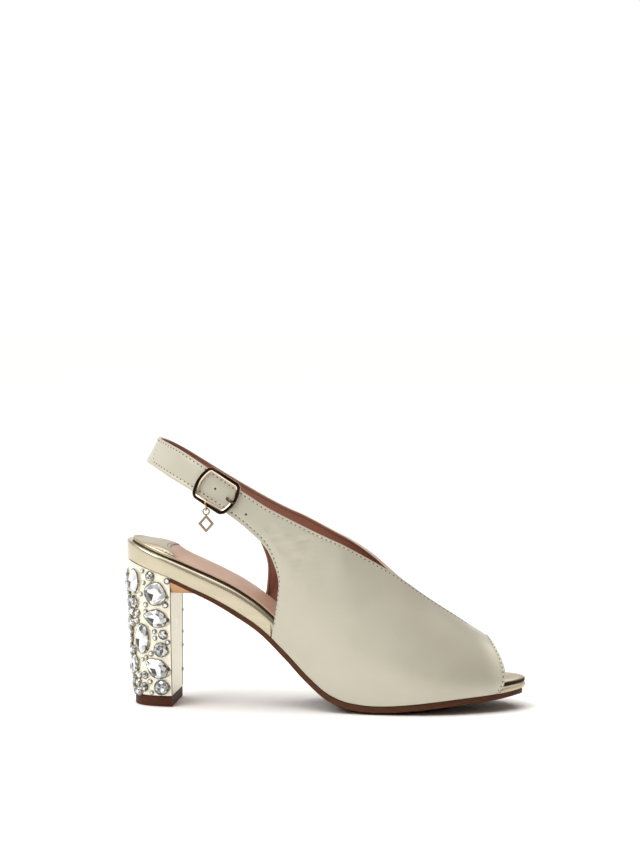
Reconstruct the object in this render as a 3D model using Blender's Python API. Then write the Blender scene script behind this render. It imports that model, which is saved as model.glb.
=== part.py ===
"""Right-foot slingback sandal with a peep toe, a deep V throat and a jewelled block heel.

Lengths here are millimetres in the shoe's own directions: along runs from the back of the
heel seat to the toe, across from the outer side (negative) to the inner side (positive), and
up from the floor.  Points become metres when a mesh is made, with the origin in the middle of
the heel's top piece, on the floor.
"""
import math
from collections import namedtuple

import bmesh
import bpy
import numpy as np
from mathutils import Matrix, Vector

MM = 0.001

# Driving sizes of the shoe
SHOE_LENGTH = 217.0
BALL_WIDTH = 74.6
SEAT_HEIGHT = 78.0
GAP = 0.3

# Sole layers
STATION_STEP = 6.0
SOLE_INSET = 0.6
FLAT_SHARE = 0.42
HEEL_ROUND = 24.0
SEAT_BACK = -0.8
TOE_ROUND = 24.0
SOLE_TOE_INSET = 1.6
LIP_DEPTH = 6.2
LIP_LENGTH = 14.0
LIP_EDGE = 6
BED_SHOULDER = 2.4
BED_STEP = 0.45
STEP_RAMP = 0.3
STEP_EDGE = 0.01
INSOLE_THICKNESS = 1.9
INSOLE_INSET = 2.4
INSOLE_TOE_INSET = 0.2
HEEL_PAD = 1.9
PAD_ROUND = 18.0
PAD_THIN = 0.8
PAD_FALL = (23.0, 33.0)
TOE_CROWN = 2.4
CROWN_FROM = 190.0
CROWN_REACH = 14.0
CROWN_EDGE = 8.0

# Upper
WALL = 1.6
UPPER_LIFT = 0.45
UPPER_SEAT = WALL + 0.5
STEPS_PER_SECTION = 3
STEPS_UP = 9

# Block heel and its top piece
BREAST_TOP = 26.1
BREAST_FLOOR = 26.4
HEEL_BACK_TOP = 0.0
HEEL_BACK_FLOOR = 3.8
HEEL_HALF_TOP = 22.4
HEEL_HALF_FLOOR = 18.4
HEEL_SQUARENESS = 2.4
TOP_PIECE = 5.5
HEEL_BASE = TOP_PIECE + GAP
HEEL_REST = 0.5 * (BREAST_FLOOR + HEEL_BACK_FLOOR)

# Buckle: u runs along the strap, w up its width, n out of its face
BUCKLE_SECTION = 13.9
BUCKLE_HALF_LONG = 10.9
BUCKLE_HALF_WIDE = 8.55
BUCKLE_CORNER = 1.7
BUCKLE_BOW = 0.2
BUCKLE_ARCH = 2.2
BAR_WIDE = 2.5
BAR_DEEP = 1.7
PRONG_WIDE = 1.7
PRONG_DEEP = 1.1
PRONG_START = 6.6
PRONG_END = 11.8
PRONG_OFFSET = -0.4

# Charm and the jump ring that carries it
LINK_PLACE = -0.7
LINK_RADIUS = 3.0
LINK_WIRE = 0.4
LINK_HANG = 0.7
EYE_RADIUS = 1.7
EYE_WIRE = 0.35
EYE_HANG = 0.65
CHARM_THICKNESS = 0.9
CHARM_HALF_WIDE = 4.3
CHARM_TALL = 9.6
CHARM_BAR = 1.2

# Stones
STONE_SIDES = 12
STONE_SEAT = 0.3
STONE_GIRDLE = 0.9
STONE_CROWN = 0.17
STONE_TABLE = 0.56
CUSHION_POWER = 0.7
PEAR_TAPER = 0.45

SoleRow = namedtuple("SoleRow", "along centre half seam bed sole drop")
# along: % of the length.  centre: % of the ball width.  half: % of half the ball width.
# seam: height of the joint of outsole and footbed, % of the seat height.
# bed, sole: thickness of footbed and outsole.  drop: how far the tread's middle lies below its edge.
SOLE_ROWS = [
    SoleRow(0.0, 0.0, 64.0, 102.4, 10.0, 2.0, 0.6),
    SoleRow(6.0, 0.0, 64.5, 96.8, 9.6, 2.0, 0.6),
    SoleRow(12.5, 0.0, 65.0, 90.1, 9.3, 2.0, 0.6),
    SoleRow(17.0, -0.4, 64.5, 84.4, 9.6, 2.0, 0.6),
    SoleRow(23.0, -1.3, 62.5, 76.9, 9.8, 2.3, 0.6),
    SoleRow(29.0, -2.4, 60.0, 67.6, 10.5, 2.6, 0.7),
    SoleRow(35.0, -3.5, 59.0, 56.4, 10.4, 2.6, 0.9),
    SoleRow(41.0, -4.3, 61.5, 40.8, 10.5, 2.7, 1.2),
    SoleRow(47.0, -3.7, 68.5, 23.8, 10.0, 2.8, 1.8),
    SoleRow(51.0, -2.6, 76.0, 14.4, 8.8, 2.9, 2.6),
    SoleRow(55.0, -0.8, 84.0, 8.9, 7.2, 2.9, 3.4),
    SoleRow(60.0, 0.8, 92.0, 6.1, 6.1, 3.0, 3.6),
    SoleRow(66.0, 2.4, 98.3, 5.6, 5.8, 3.0, 3.6),
    SoleRow(72.0, 3.0, 100.0, 6.8, 5.5, 3.0, 3.0),
    SoleRow(78.0, 3.2, 97.3, 8.6, 5.2, 3.0, 2.4),
    SoleRow(84.0, 3.3, 88.0, 10.4, 4.8, 3.0, 2.0),
    SoleRow(90.0, 3.3, 70.5, 11.6, 3.8, 3.0, 1.6),
    SoleRow(95.0, 3.3, 59.5, 12.7, 3.0, 2.6, 1.2),
    SoleRow(100.0, 3.3, 52.0, 14.4, 2.7, 2.2, 0.8),
]

# Sections of the upper, from the toe opening back to the middle of the sling.
# low: the lower edge, on the sole where only its place along is given.  top: the upper edge.
# swell_low, swell_high: how far the wall stands out of the straight line between the two.
# roof: share by which the wall flattens towards its top.
# lead_low, lead_high: how far its lower and upper half lean forward.
Section = namedtuple("Section", "low top swell_low swell_high roof lead_low lead_high")
TOE_TOP = (197.4, 2.4, 37.9)
V_POINT = (188.6, 2.4, 43.3)
SLING_BACK = Section((9.6, 0.0, 132.3), (16.6, 0.0, 145.5), 0.0, 0.0, 0.0, 0.0, 0.0)
V_ROW = 1
CORNER_ROW = 8
OUTER_SECTIONS = [
    Section((202.4,), TOE_TOP, 10.5, 8.0, 1.0, 14.0, 0.4),
    Section((199.6,), V_POINT, 10.6, 8.0, 0.95, 6.8, -0.6),
    Section((190.6,), (179.0, -4.6, 50.7), 10.6, 7.6, 0.55, 3.8, -0.8),
    Section((176.0,), (165.0, -10.8, 60.6), 11.0, 7.6, 0.32, 1.6, -0.2),
    Section((158.0,), (148.0, -17.2, 73.4), 10.6, 7.2, 0.12, 0.2, 0.2),
    Section((138.0,), (133.0, -22.0, 82.7), 8.8, 6.2, 0.06, 0.0, 0.0),
    Section((119.0,), (121.0, -25.2, 89.6), 7.0, 5.2, 0.10, 0.0, 0.0),
    Section((100.0,), (112.5, -26.3, 93.6), 6.0, 4.6, 0.0, 0.0, 0.0),
    Section((81.6,), (104.5, -27.1, 97.4), 5.0, 4.2, 0.0, 0.0, 0.0),
    Section((85.0, -27.4, 60.5), (97.0, -27.7, 101.1), 2.6, 3.0, 0.0, 0.0, 0.0),
    Section((85.5, -29.0, 73.0), (91.0, -28.1, 104.1), 1.6, 2.2, 0.0, 0.0, 0.0),
    Section((80.0, -30.1, 87.3), (85.0, -28.3, 107.2), 1.0, 1.4, 0.0, 0.0, 0.0),
    Section((70.6, -30.8, 97.1), (78.6, -28.5, 110.7), 0.6, 0.8, 0.0, 0.0, 0.0),
    Section((60.2, -30.8, 105.4), (67.6, -28.8, 117.8), 0.3, 0.3, 0.0, 0.0, 0.0),
    Section((48.0, -29.8, 113.0), (55.3, -28.4, 126.0), 0.2, 0.2, 0.0, 0.0, 0.0),
    Section((36.0, -27.2, 120.2), (43.2, -26.5, 133.6), 0.1, 0.1, 0.0, 0.0, 0.0),
    Section((25.5, -22.0, 125.6), (32.2, -21.7, 139.8), 0.0, 0.0, 0.0, 0.0, 0.0),
    Section((16.6, -13.6, 129.9), (23.6, -13.5, 143.4), 0.0, 0.0, 0.0, 0.0, 0.0),
    Section((11.3, -5.8, 131.9), (18.2, -5.8, 145.1), 0.0, 0.0, 0.0, 0.0, 0.0),
    SLING_BACK,
]
INNER_SECTIONS = [
    Section((202.6,), TOE_TOP, 10.5, 8.0, 1.0, 6.4, -4.2),
    Section((196.4,), V_POINT, 10.6, 8.0, 0.95, 5.0, -3.2),
    Section((188.4,), (179.0, 9.4, 48.2), 10.6, 7.6, 0.5, 3.2, -2.0),
    Section((175.0,), (165.0, 15.4, 55.4), 10.8, 7.6, 0.3, 1.4, -0.6),
    Section((158.0,), (148.0, 20.8, 67.1), 10.2, 7.2, 0.12, 0.2, 0.2),
    Section((138.0,), (133.0, 23.8, 79.5), 8.4, 6.2, 0.06, 0.0, 0.0),
    Section((117.0,), (121.0, 25.6, 87.3), 6.2, 5.6, 0.10, 0.0, 0.0),
    Section((95.0,), (111.0, 26.8, 92.2), 4.8, 5.4, 0.0, 0.0, 0.0),
    Section((70.6,), (101.5, 27.7, 97.0), 3.4, 4.6, 0.0, 0.0, 0.0),
    Section((73.4, 22.0, 61.5), (93.0, 28.3, 101.2), 2.0, 3.2, 0.0, 0.0, 0.0),
    Section((73.4, 24.6, 73.6), (86.0, 28.7, 104.1), 1.4, 2.2, 0.0, 0.0, 0.0),
    Section((69.0, 26.9, 85.5), (79.0, 29.0, 107.4), 1.0, 1.4, 0.0, 0.0, 0.0),
    Section((61.5, 28.4, 97.0), (70.2, 29.1, 112.0), 0.6, 0.8, 0.0, 0.0, 0.0),
    Section((51.0, 29.0, 105.2), (58.6, 29.1, 118.5), 0.3, 0.3, 0.0, 0.0, 0.0),
    Section((39.5, 28.2, 112.4), (47.0, 28.5, 125.4), 0.2, 0.2, 0.0, 0.0, 0.0),
    Section((29.5, 26.0, 118.6), (36.6, 26.6, 132.0), 0.1, 0.1, 0.0, 0.0, 0.0),
    Section((21.0, 21.2, 124.2), (27.8, 21.8, 138.0), 0.0, 0.0, 0.0, 0.0, 0.0),
    Section((14.3, 13.4, 129.2), (21.2, 13.7, 142.6), 0.0, 0.0, 0.0, 0.0, 0.0),
    Section((10.5, 5.8, 131.7), (17.5, 5.8, 144.9), 0.0, 0.0, 0.0, 0.0, 0.0),
    SLING_BACK,
]

# Stones on the round back of the heel.  angle: degrees round from the middle of the back, the
# outer side negative.  up: height above the floor.  lean: turn of the stone in its own plane.
Stone = namedtuple("Stone", "kind angle up wide tall lean")
STONES = [
    Stone("oval", -40.0, 68.0, 8.6, 13.4, 0.0),
    Stone("round", -69.0, 71.4, 4.7, 4.7, 0.0),
    Stone("cushion", -75.2, 61.9, 11.4, 11.4, 45.0),
    Stone("pear", -74.2, 48.5, 9.6, 13.4, -90.0),
    Stone("oval", -52.0, 36.8, 9.4, 16.2, 0.0),
    Stone("round", -83.0, 39.5, 4.7, 4.7, 0.0),
    Stone("round", -80.0, 31.2, 7.6, 7.6, 0.0),
    Stone("pear", -73.5, 21.1, 10.2, 13.8, -60.0),
    Stone("round", -54.5, 16.8, 3.8, 3.8, 0.0),
    Stone("round", -79.5, 10.4, 7.9, 7.9, 0.0),
    Stone("round", -52.5, 10.2, 4.6, 4.6, 0.0),
    Stone("round", -38.0, 56.6, 6.6, 6.6, 0.0),
    Stone("oval", -33.0, 22.8, 6.0, 9.4, 0.0),
    Stone("cushion", 2.0, 65.6, 9.8, 9.8, 0.0),
    Stone("round", 1.0, 54.0, 7.0, 7.0, 0.0),
    Stone("pear", 0.0, 41.8, 9.4, 12.8, 0.0),
    Stone("round", 1.0, 30.6, 6.2, 6.2, 0.0),
    Stone("oval", 0.0, 19.4, 8.8, 12.4, 0.0),
    Stone("round", 0.0, 8.8, 5.2, 5.2, 0.0),
    Stone("oval", 45.0, 62.0, 8.8, 13.6, 0.0),
    Stone("round", 27.0, 49.4, 5.0, 5.0, 0.0),
    Stone("round", 47.0, 48.0, 6.2, 6.2, 0.0),
    Stone("oval", 48.0, 34.6, 8.4, 12.4, 0.0),
    Stone("cushion", 46.0, 18.6, 9.0, 9.0, 45.0),
    Stone("round", 48.0, 8.4, 3.8, 3.8, 0.0),
    Stone("round", 75.0, 64.4, 7.4, 7.4, 0.0),
    Stone("pear", 74.0, 54.0, 9.2, 12.6, 90.0),
    Stone("cushion", 75.0, 41.8, 10.4, 10.4, 45.0),
    Stone("round", 79.0, 32.0, 4.8, 4.8, 0.0),
    Stone("pear", 74.0, 22.0, 9.4, 12.6, 60.0),
    Stone("round", 78.0, 10.2, 7.4, 7.4, 0.0),
]


def curve_through(places, values):
    """Smooth curve through a column of a table, read by place."""
    places = np.asarray(places, float)
    values = np.asarray(values, float)
    slopes = np.gradient(values, places)

    def read(place):
        place = min(max(place, places[0]), places[-1])
        row = min(int(np.searchsorted(places, place, side="right")) - 1, len(places) - 2)
        span = places[row + 1] - places[row]
        share = (place - places[row]) / span
        return hermite(values[row], values[row + 1], slopes[row] * span, slopes[row + 1] * span, share)

    return read


def hermite(start, end, start_slope, end_slope, share):
    """Cubic from start to end with the given slopes over the whole step."""
    square = share * share
    cube = square * share
    return (start * (2 * cube - 3 * square + 1) + start_slope * (cube - 2 * square + share)
            + end * (3 * square - 2 * cube) + end_slope * (cube - square))


def sole_column(column, unit):
    """One column of the sole table as a curve along the shoe."""
    places = [row.along * SHOE_LENGTH / 100 for row in SOLE_ROWS]
    values = [getattr(row, column) * unit for row in SOLE_ROWS]
    return curve_through(places, values)


centre_line = sole_column("centre", BALL_WIDTH / 100)
straight_half = sole_column("half", BALL_WIDTH / 200)
seam_height = sole_column("seam", SEAT_HEIGHT / 100)
bed_thickness = sole_column("bed", 1.0)
sole_thickness = sole_column("sole", 1.0)
tread_drop = sole_column("drop", 1.0)


def round_end(distance, radius):
    """Share of the full width at a distance from a rounded end."""
    if distance >= radius:
        return 1.0
    return math.sqrt(max(0.0, 1.0 - (1.0 - distance / radius) ** 2))


def half_width(along):
    """Half the width of the shoe's outline."""
    heel = round_end(along - SEAT_BACK, HEEL_ROUND)
    toe = round_end(SHOE_LENGTH - along, TOE_ROUND)
    return straight_half(along) * heel * toe


def edge_across(along, side):
    """Edge of the outline on one side: -1 outer, 1 inner."""
    return centre_line(along) + side * half_width(along)


def sole_depth(along):
    """Upright thickness of the outsole, more where it slopes."""
    slope = (seam_height(along + 1.0) - seam_height(along - 1.0)) / 2.0
    return sole_thickness(along) * math.hypot(1.0, slope)


def tread_height(along, share):
    """Underside of the outsole; share is -1 to 1 across.  Its middle is flat on the floor."""
    edge = seam_height(along) - sole_depth(along)
    bend = max(0.0, abs(share) - FLAT_SHARE) / (1.0 - FLAT_SHARE)
    lip = LIP_DEPTH * max(0.0, 1.0 - (along - BREAST_TOP) / LIP_LENGTH) * (1.0 - bend ** LIP_EDGE)
    return max(0.0, edge - tread_drop(along) * (1.0 - bend * bend) - lip)


def stations(start, end, start_round=0.0, end_round=0.0, extra=()):
    """Places along a piece: shared steps along the shoe, closer where its ends are round."""
    arcs = [math.radians(angle) for angle in (9, 24, 40, 56, 72)]
    places = [start + start_round * (1 - math.cos(arc)) for arc in arcs if start_round]
    places += [end - end_round * (1 - math.cos(arc)) for arc in arcs if end_round]
    places += [start] if not start_round else []
    places += [end] if not end_round else []
    steps = [STATION_STEP * step for step in range(int(SHOE_LENGTH / STATION_STEP))]
    places += [step for step in steps if start + 0.7 * start_round < step < end - 0.7 * end_round]
    return sorted(set(places) | set(extra))


def make_material(name, colour, roughness, metallic=0.0):
    """Plain finish of one kind of piece."""
    material = bpy.data.materials.new(name)
    material.use_nodes = True
    shader = material.node_tree.nodes["Principled BSDF"]
    shader.inputs["Base Color"].default_value = (*colour, 1.0)
    shader.inputs["Roughness"].default_value = roughness
    shader.inputs["Metallic"].default_value = metallic
    return material


def in_metres(point):
    """A point of the shoe in metres, from the origin under the heel."""
    return Vector(((point[0] - HEEL_REST) * MM, point[1] * MM, point[2] * MM))


def add_piece(name, bm, material, matrix=None):
    """One closed mesh, in metres, as a named object."""
    bmesh.ops.recalc_face_normals(bm, faces=bm.faces)
    mesh = bpy.data.meshes.new(name)
    bm.to_mesh(mesh)
    bm.free()
    mesh.materials.append(material)
    mesh.shade_smooth()
    mesh.set_sharp_from_angle(angle=math.radians(35))
    piece = bpy.data.objects.new(name, mesh)
    bpy.context.scene.collection.objects.link(piece)
    if matrix is not None:
        piece.matrix_world = matrix
    return piece


def skin(rings, to_place=in_metres):
    """Closed body through rings of equal count, with its two ends filled."""
    bm = bmesh.new()
    loops = [[bm.verts.new(to_place(point)) for point in ring] for ring in rings]
    for ring, following in zip(loops, loops[1:]):
        count = len(ring)
        for spot in range(count):
            after = (spot + 1) % count
            bm.faces.new((ring[spot], ring[after], following[after], following[spot]))
    bm.faces.new(loops[0])
    bm.faces.new(loops[-1])
    return bm


def make_outsole(material):
    """Thin sole from the heel breast to the toe, its back end turned down the breast."""
    shares = (-1.0, -0.9, -0.72, -FLAT_SHARE, 0.0, FLAT_SHARE, 0.72, 0.9, 1.0)
    start = BREAST_TOP + GAP
    lip_places = [start + share * LIP_LENGTH for share in (0.3, 0.7, 1.0)]
    rings = []
    end = SHOE_LENGTH - SOLE_TOE_INSET
    for along in stations(start, end, end_round=TOE_ROUND, extra=lip_places):
        half = half_width(along + 0.5 * SOLE_TOE_INSET) - SOLE_INSET
        middle = centre_line(along)
        under = [(along, middle + share * half, tread_height(along, share)) for share in shares]
        over = [(along, middle + share * half, seam_height(along)) for share in (1.0, 0.0, -1.0)]
        rings.append(under + over)
    return add_piece("outsole", skin(rings), material)


def quarter_edge(side, above):
    """Place along the shoe of the upper's back edge, at a height above its lower corner."""
    sections = OUTER_SECTIONS if side < 0 else INNER_SECTIONS
    corner = sections[CORNER_ROW].low[0]
    following = sections[CORNER_ROW + 1].low
    slant = (following[0] - corner) / (following[2] - seam_height(corner))
    return corner + slant * above


def toe_edge(side):
    """Place along the shoe of the upper's front edge beside the footbed, where it leans forward."""
    face = outer_face if side < 0 else inner_face
    return max(face(0.0, share)[0] for share in (0.0, 0.04, 0.08, 0.12))


def bed_half(along, side, above):
    """Half width of the footbed, set in where the upper comes down beside it."""
    back = quarter_edge(side, above) - BED_STEP
    front = toe_edge(side) + BED_STEP
    covered = back < along < front
    return half_width(along) - (UPPER_SEAT if covered else 0.0)


def bed_top(along):
    """Height of the footbed's upper face."""
    return seam_height(along) + GAP + bed_thickness(along)


def make_footbed(material):
    """Wrapped footbed with a rounded upper edge, set in beside the upper."""
    steps = []
    for side, sections in ((-1, OUTER_SECTIONS), (1, INNER_SECTIONS)):
        corner = sections[CORNER_ROW].low[0]
        rises = [share * bed_thickness(corner) for share in (0.0, 0.5, 0.8, 1.0)]
        steps += [quarter_edge(side, rise) - BED_STEP + STEP_EDGE for rise in rises]
        front = toe_edge(side) + BED_STEP
        steps += [corner - BED_STEP - STEP_RAMP, front - STEP_EDGE, front + STEP_RAMP]
    rings = []
    shoulder = [math.radians(angle) for angle in (0, 35, 65, 90)]
    for along in stations(SEAT_BACK, SHOE_LENGTH, HEEL_ROUND, TOE_ROUND, steps):
        floor = seam_height(along) + GAP
        top = bed_top(along)
        radius = min(BED_SHOULDER, 0.55 * (top - floor))
        ring = []
        for side in (-1, 1):
            middle = centre_line(along)
            rise = [(along, middle + side * bed_half(along, side, 0.0), floor)]
            for arc in shoulder:
                up = top - radius * (1 - math.sin(arc))
                half = bed_half(along, side, up - floor)
                inward = min(radius, 0.4 * half) * (1 - math.cos(arc))
                rise.append((along, middle + side * (half - inward), up))
            ring += rise if side > 0 else rise[::-1]
        rings.append(ring)
    return add_piece("footbed", skin(rings), material)


def heel_pad(along):
    """Rise of the padded heel part of the insole, thin at its back end."""
    start, end = PAD_FALL
    fall = min(max((along - start) / (end - start), 0.0), 1.0)
    grow = min(max((along - INSOLE_INSET) / PAD_ROUND, 0.0), 1.0)
    swell = grow * grow * (3.0 - 2.0 * grow)
    return (swell * (HEEL_PAD + PAD_THIN) - PAD_THIN) * 0.5 * (1.0 + math.cos(math.pi * fall))


def toe_crown(along):
    """Rise of the sock's middle where it shows in the toe opening."""
    reach = min(max((along - CROWN_FROM) / CROWN_REACH, 0.0), 1.0)
    return TOE_CROWN * reach * reach * (3.0 - 2.0 * reach)


def make_insole(material):
    """Thin sock lying on the footbed, a little inside its edge, padded at the heel and crowned at the toe."""
    rings = []
    end = SHOE_LENGTH - INSOLE_TOE_INSET
    for along in stations(INSOLE_INSET, end, HEEL_ROUND, TOE_ROUND):
        heel = round_end(along - INSOLE_INSET, HEEL_ROUND)
        toe = round_end(end - along, TOE_ROUND)
        floor = bed_top(along) + GAP
        top = floor + INSOLE_THICKNESS
        rise = heel_pad(along) + toe_crown(along) * round_end(end - along, CROWN_EDGE)
        ring = []
        for side in (-1, 1):
            covered = straight_half(along) - UPPER_SEAT - INSOLE_INSET
            half = covered * heel * toe
            middle = centre_line(along)
            edge = [(along, middle + side * half, floor),
                    (along, middle + side * half, floor + 0.55 * INSOLE_THICKNESS),
                    (along, middle + side * half * 0.95, top + 0.4 * rise),
                    (along, middle + side * half * 0.8, top + rise)]
            ring += edge if side > 0 else edge[::-1]
        rings.append(ring)
    return add_piece("insole", skin(rings), material)


def upper_seat(along, side):
    """Point on the outsole's edge where the upper stands."""
    return np.array((along, edge_across(along, side), seam_height(along) + UPPER_LIFT))


def section_ends(section, side):
    """Lower and upper end of a section of the upper."""
    low = section.low
    if len(low) == 1:
        low = upper_seat(low[0], side)
    return np.array(low), np.array(section.top)


def section_table(sections, side):
    """All sections of one side as rows of numbers: ends first, then the shape of the wall."""
    rows = []
    for section in sections:
        low, top = section_ends(section, side)
        shape = (section.swell_low, section.swell_high, section.roof, section.lead_low, section.lead_high)
        rows.append(np.concatenate([low, top, shape]))
    return np.array(rows)


def upper_side(sections, side):
    """Outer face of one side of the upper as a function of section number and share of height."""
    rows = section_table(sections, side)
    before = np.gradient(rows, axis=0)
    after = before.copy()
    for row, columns in ((V_ROW, slice(3, 6)), (CORNER_ROW, slice(0, 3))):
        before[row, columns] = rows[row, columns] - rows[row - 1, columns]
        after[row, columns] = rows[row + 1, columns] - rows[row, columns]

    def face(number, share):
        row = min(int(number), len(rows) - 2)
        values = hermite(rows[row], rows[row + 1], after[row], before[row + 1], number - row)
        low, top = values[0:3], values[3:6]
        if number <= CORNER_ROW:
            low = upper_seat(low[0], side)
        swell_low, swell_high, roof, lead_low, lead_high = values[6:11]
        third = (top - low) / 3
        low_handle = low + third + np.array((lead_low, side * swell_low, 0.0))
        top_handle = top - third + np.array((lead_high, side * swell_high, roof * third[2]))
        rest = 1.0 - share
        return (low * rest ** 3 + 3 * low_handle * share * rest ** 2
                + 3 * top_handle * share ** 2 * rest + top * share ** 3)

    return face


outer_face = upper_side(OUTER_SECTIONS, -1)
inner_face = upper_side(INNER_SECTIONS, 1)


def make_upper(material):
    """Both sides, the bridge over the toes and the sling as one sheet with a wall of leather."""
    bm = bmesh.new()
    last = (len(OUTER_SECTIONS) - 1) * STEPS_PER_SECTION
    bridge = V_ROW * STEPS_PER_SECTION
    strips = []
    for face in (outer_face, inner_face):
        strip = []
        for row in range(last + 1):
            line = []
            for step in range(STEPS_UP + 1):
                joined = strips and (row == last or (row <= bridge and step == STEPS_UP))
                if joined:
                    line.append(strips[0][row][step])
                else:
                    line.append(bm.verts.new(in_metres(face(row / STEPS_PER_SECTION, step / STEPS_UP))))
            strip.append(line)
        strips.append(strip)
    for strip, turned in zip(strips, (False, True)):
        for line, following in zip(strip, strip[1:]):
            for step in range(STEPS_UP):
                corners = (line[step], line[step + 1], following[step + 1], following[step])
                bm.faces.new(corners[::-1] if turned else corners)
    mesh = bpy.data.meshes.new("upper")
    bm.normal_update()
    bm.to_mesh(mesh)
    bm.free()
    mesh.materials.append(material)
    mesh.shade_smooth()
    mesh.set_sharp_from_angle(angle=math.radians(50))
    upper = bpy.data.objects.new("upper", mesh)
    bpy.context.scene.collection.objects.link(upper)
    wall = upper.modifiers.new("leather wall", "SOLIDIFY")
    wall.thickness = WALL * MM
    wall.offset = -1.0
    wall.use_even_offset = True
    wall.use_quality_normals = True
    return upper


def heel_outline(angle, level):
    """Point of the heel's round back: angle from the middle of the back, level 0 floor, 1 top."""
    breast = BREAST_FLOOR + (BREAST_TOP - BREAST_FLOOR) * level
    back = HEEL_BACK_FLOOR + (HEEL_BACK_TOP - HEEL_BACK_FLOOR) * level
    half = HEEL_HALF_FLOOR + (HEEL_HALF_TOP - HEEL_HALF_FLOOR) * level
    power = 2.0 / HEEL_SQUARENESS
    reach = abs(math.cos(angle)) ** power
    spread = math.copysign(abs(math.sin(angle)) ** power, angle)
    return breast - (breast - back) * reach, half * spread


def heel_rise(angle):
    """Height of the heel itself, from its top piece to the footbed."""
    top_along, _ = heel_outline(angle, 1.0)
    return seam_height(top_along) - GAP - HEEL_BASE


def heel_point(angle, level):
    """Point on the heel's round back at a share of its own height."""
    along, across = heel_outline(angle, level)
    return np.array((along, across, HEEL_BASE + heel_rise(angle) * level))


def heel_ring(place):
    """Outline of the heel, its outer breast corner first, with paired points on both sides."""
    angles = [math.radians(angle) for angle in (-90, -84, -76, -66, -55, -43, -30, -15)]
    outer = [place(angle) for angle in angles]
    inner = [place(-angle) for angle in reversed(angles)]
    return outer + [place(0.0)] + inner


def capped_heel(rings):
    """Closed D-shaped body whose two ends follow their curve from breast to back."""
    bm = bmesh.new()
    loops = [[bm.verts.new(in_metres(point)) for point in ring] for ring in rings]
    count = len(loops[0])
    for ring, following in zip(loops, loops[1:]):
        for spot in range(count):
            after = (spot + 1) % count
            bm.faces.new((ring[spot], ring[after], following[after], following[spot]))
    for ring in (loops[0], loops[-1]):
        for spot in range(count // 2 - 1):
            mirrored = count - 1 - spot
            bm.faces.new((ring[spot], ring[spot + 1], ring[mirrored - 1], ring[mirrored]))
        tip = count // 2
        bm.faces.new((ring[tip - 1], ring[tip], ring[tip + 1]))
    return bm


def make_heel(material):
    """Block heel up to the footbed."""
    levels = (0.0, 0.25, 0.5, 0.75, 1.0)
    rings = [heel_ring(lambda angle: heel_point(angle, level)) for level in levels]
    return add_piece("heel", capped_heel(rings), material)


def make_top_piece(material):
    """Walking face under the heel, flat on the floor."""
    rings = [heel_ring(lambda angle: (*heel_outline(angle, 0.0), up)) for up in (0.0, TOP_PIECE)]
    return add_piece("heel_top_piece", capped_heel(rings), material)


def stone_outline(stone):
    """Plan of a stone: round, oval, cushion or pear with its point up before it leans."""
    lean = math.radians(stone.lean)
    points = []
    for spot in range(STONE_SIDES):
        turn = 2 * math.pi * spot / STONE_SIDES
        sideways = math.sin(turn)
        upward = math.cos(turn)
        if stone.kind == "cushion":
            sideways = math.copysign(abs(sideways) ** CUSHION_POWER, sideways)
            upward = math.copysign(abs(upward) ** CUSHION_POWER, upward)
        if stone.kind == "pear":
            sideways *= 1.0 - PEAR_TAPER * max(0.0, upward)
        flat = (0.5 * stone.wide * sideways, 0.5 * stone.tall * upward)
        points.append((flat[0] * math.cos(lean) - flat[1] * math.sin(lean),
                       flat[0] * math.sin(lean) + flat[1] * math.cos(lean)))
    return points


def make_stone(number, stone, material):
    """Cut stone whose seat follows the heel, with a flat table on a tapered crown."""
    angle = math.radians(stone.angle)
    level = (stone.up - HEEL_BASE) / heel_rise(angle)
    spot = heel_point(angle, level)
    nudge = 0.01
    round_way = (heel_point(angle + nudge, level) - heel_point(angle - nudge, level)) / (2 * nudge)
    up_way = (heel_point(angle, level + nudge) - heel_point(angle, level - nudge)) / (2 * nudge)
    out_way = np.cross(up_way, round_way)
    out_way = out_way / np.linalg.norm(out_way)
    level_way = round_way / np.linalg.norm(round_way)
    rise_way = np.cross(level_way, out_way)
    height = STONE_CROWN * min(stone.wide, stone.tall) + STONE_GIRDLE
    seat, girdle, table = [], [], []
    for sideways, upward in stone_outline(stone):
        here_angle = angle + sideways / np.linalg.norm(round_way)
        here_level = level + upward / np.linalg.norm(up_way)
        seat.append(heel_point(here_angle, here_level) + out_way * STONE_SEAT)
        flat = spot + level_way * sideways + rise_way * upward
        girdle.append(flat + out_way * (STONE_SEAT + STONE_GIRDLE))
        narrow = spot + (level_way * sideways + rise_way * upward) * STONE_TABLE
        table.append(narrow + out_way * (STONE_SEAT + height))
    bm = bmesh.new()
    loops = [[bm.verts.new(in_metres(point)) for point in ring] for ring in (seat, girdle, table)]
    middle = bm.verts.new(in_metres(spot + out_way * STONE_SEAT))
    for spot_number in range(STONE_SIDES):
        after = (spot_number + 1) % STONE_SIDES
        bm.faces.new((middle, loops[0][after], loops[0][spot_number]))
        for ring, following in zip(loops, loops[1:]):
            bm.faces.new((ring[spot_number], ring[after], following[after], following[spot_number]))
    bm.faces.new(loops[2])
    return add_piece(f"stone_{number:02d}", bm, material)


def buckle_matrix():
    """Place and turn of the buckle: u along the strap to the toe, w up its width, n outwards."""
    nudge = 0.2
    middle = outer_face(BUCKLE_SECTION, 0.5)
    forward = outer_face(BUCKLE_SECTION - nudge, 0.5) - outer_face(BUCKLE_SECTION + nudge, 0.5)
    upward = outer_face(BUCKLE_SECTION, 0.9) - outer_face(BUCKLE_SECTION, 0.1)
    u = Vector(forward).normalized()
    n = u.cross(Vector(upward)).normalized()
    w = n.cross(u)
    turn = Matrix((u, w, n)).transposed().to_4x4()
    return Matrix.Translation(in_metres(middle)) @ turn


def in_buckle(point):
    """Metres in the buckle's own directions."""
    return Vector(point) * MM


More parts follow.
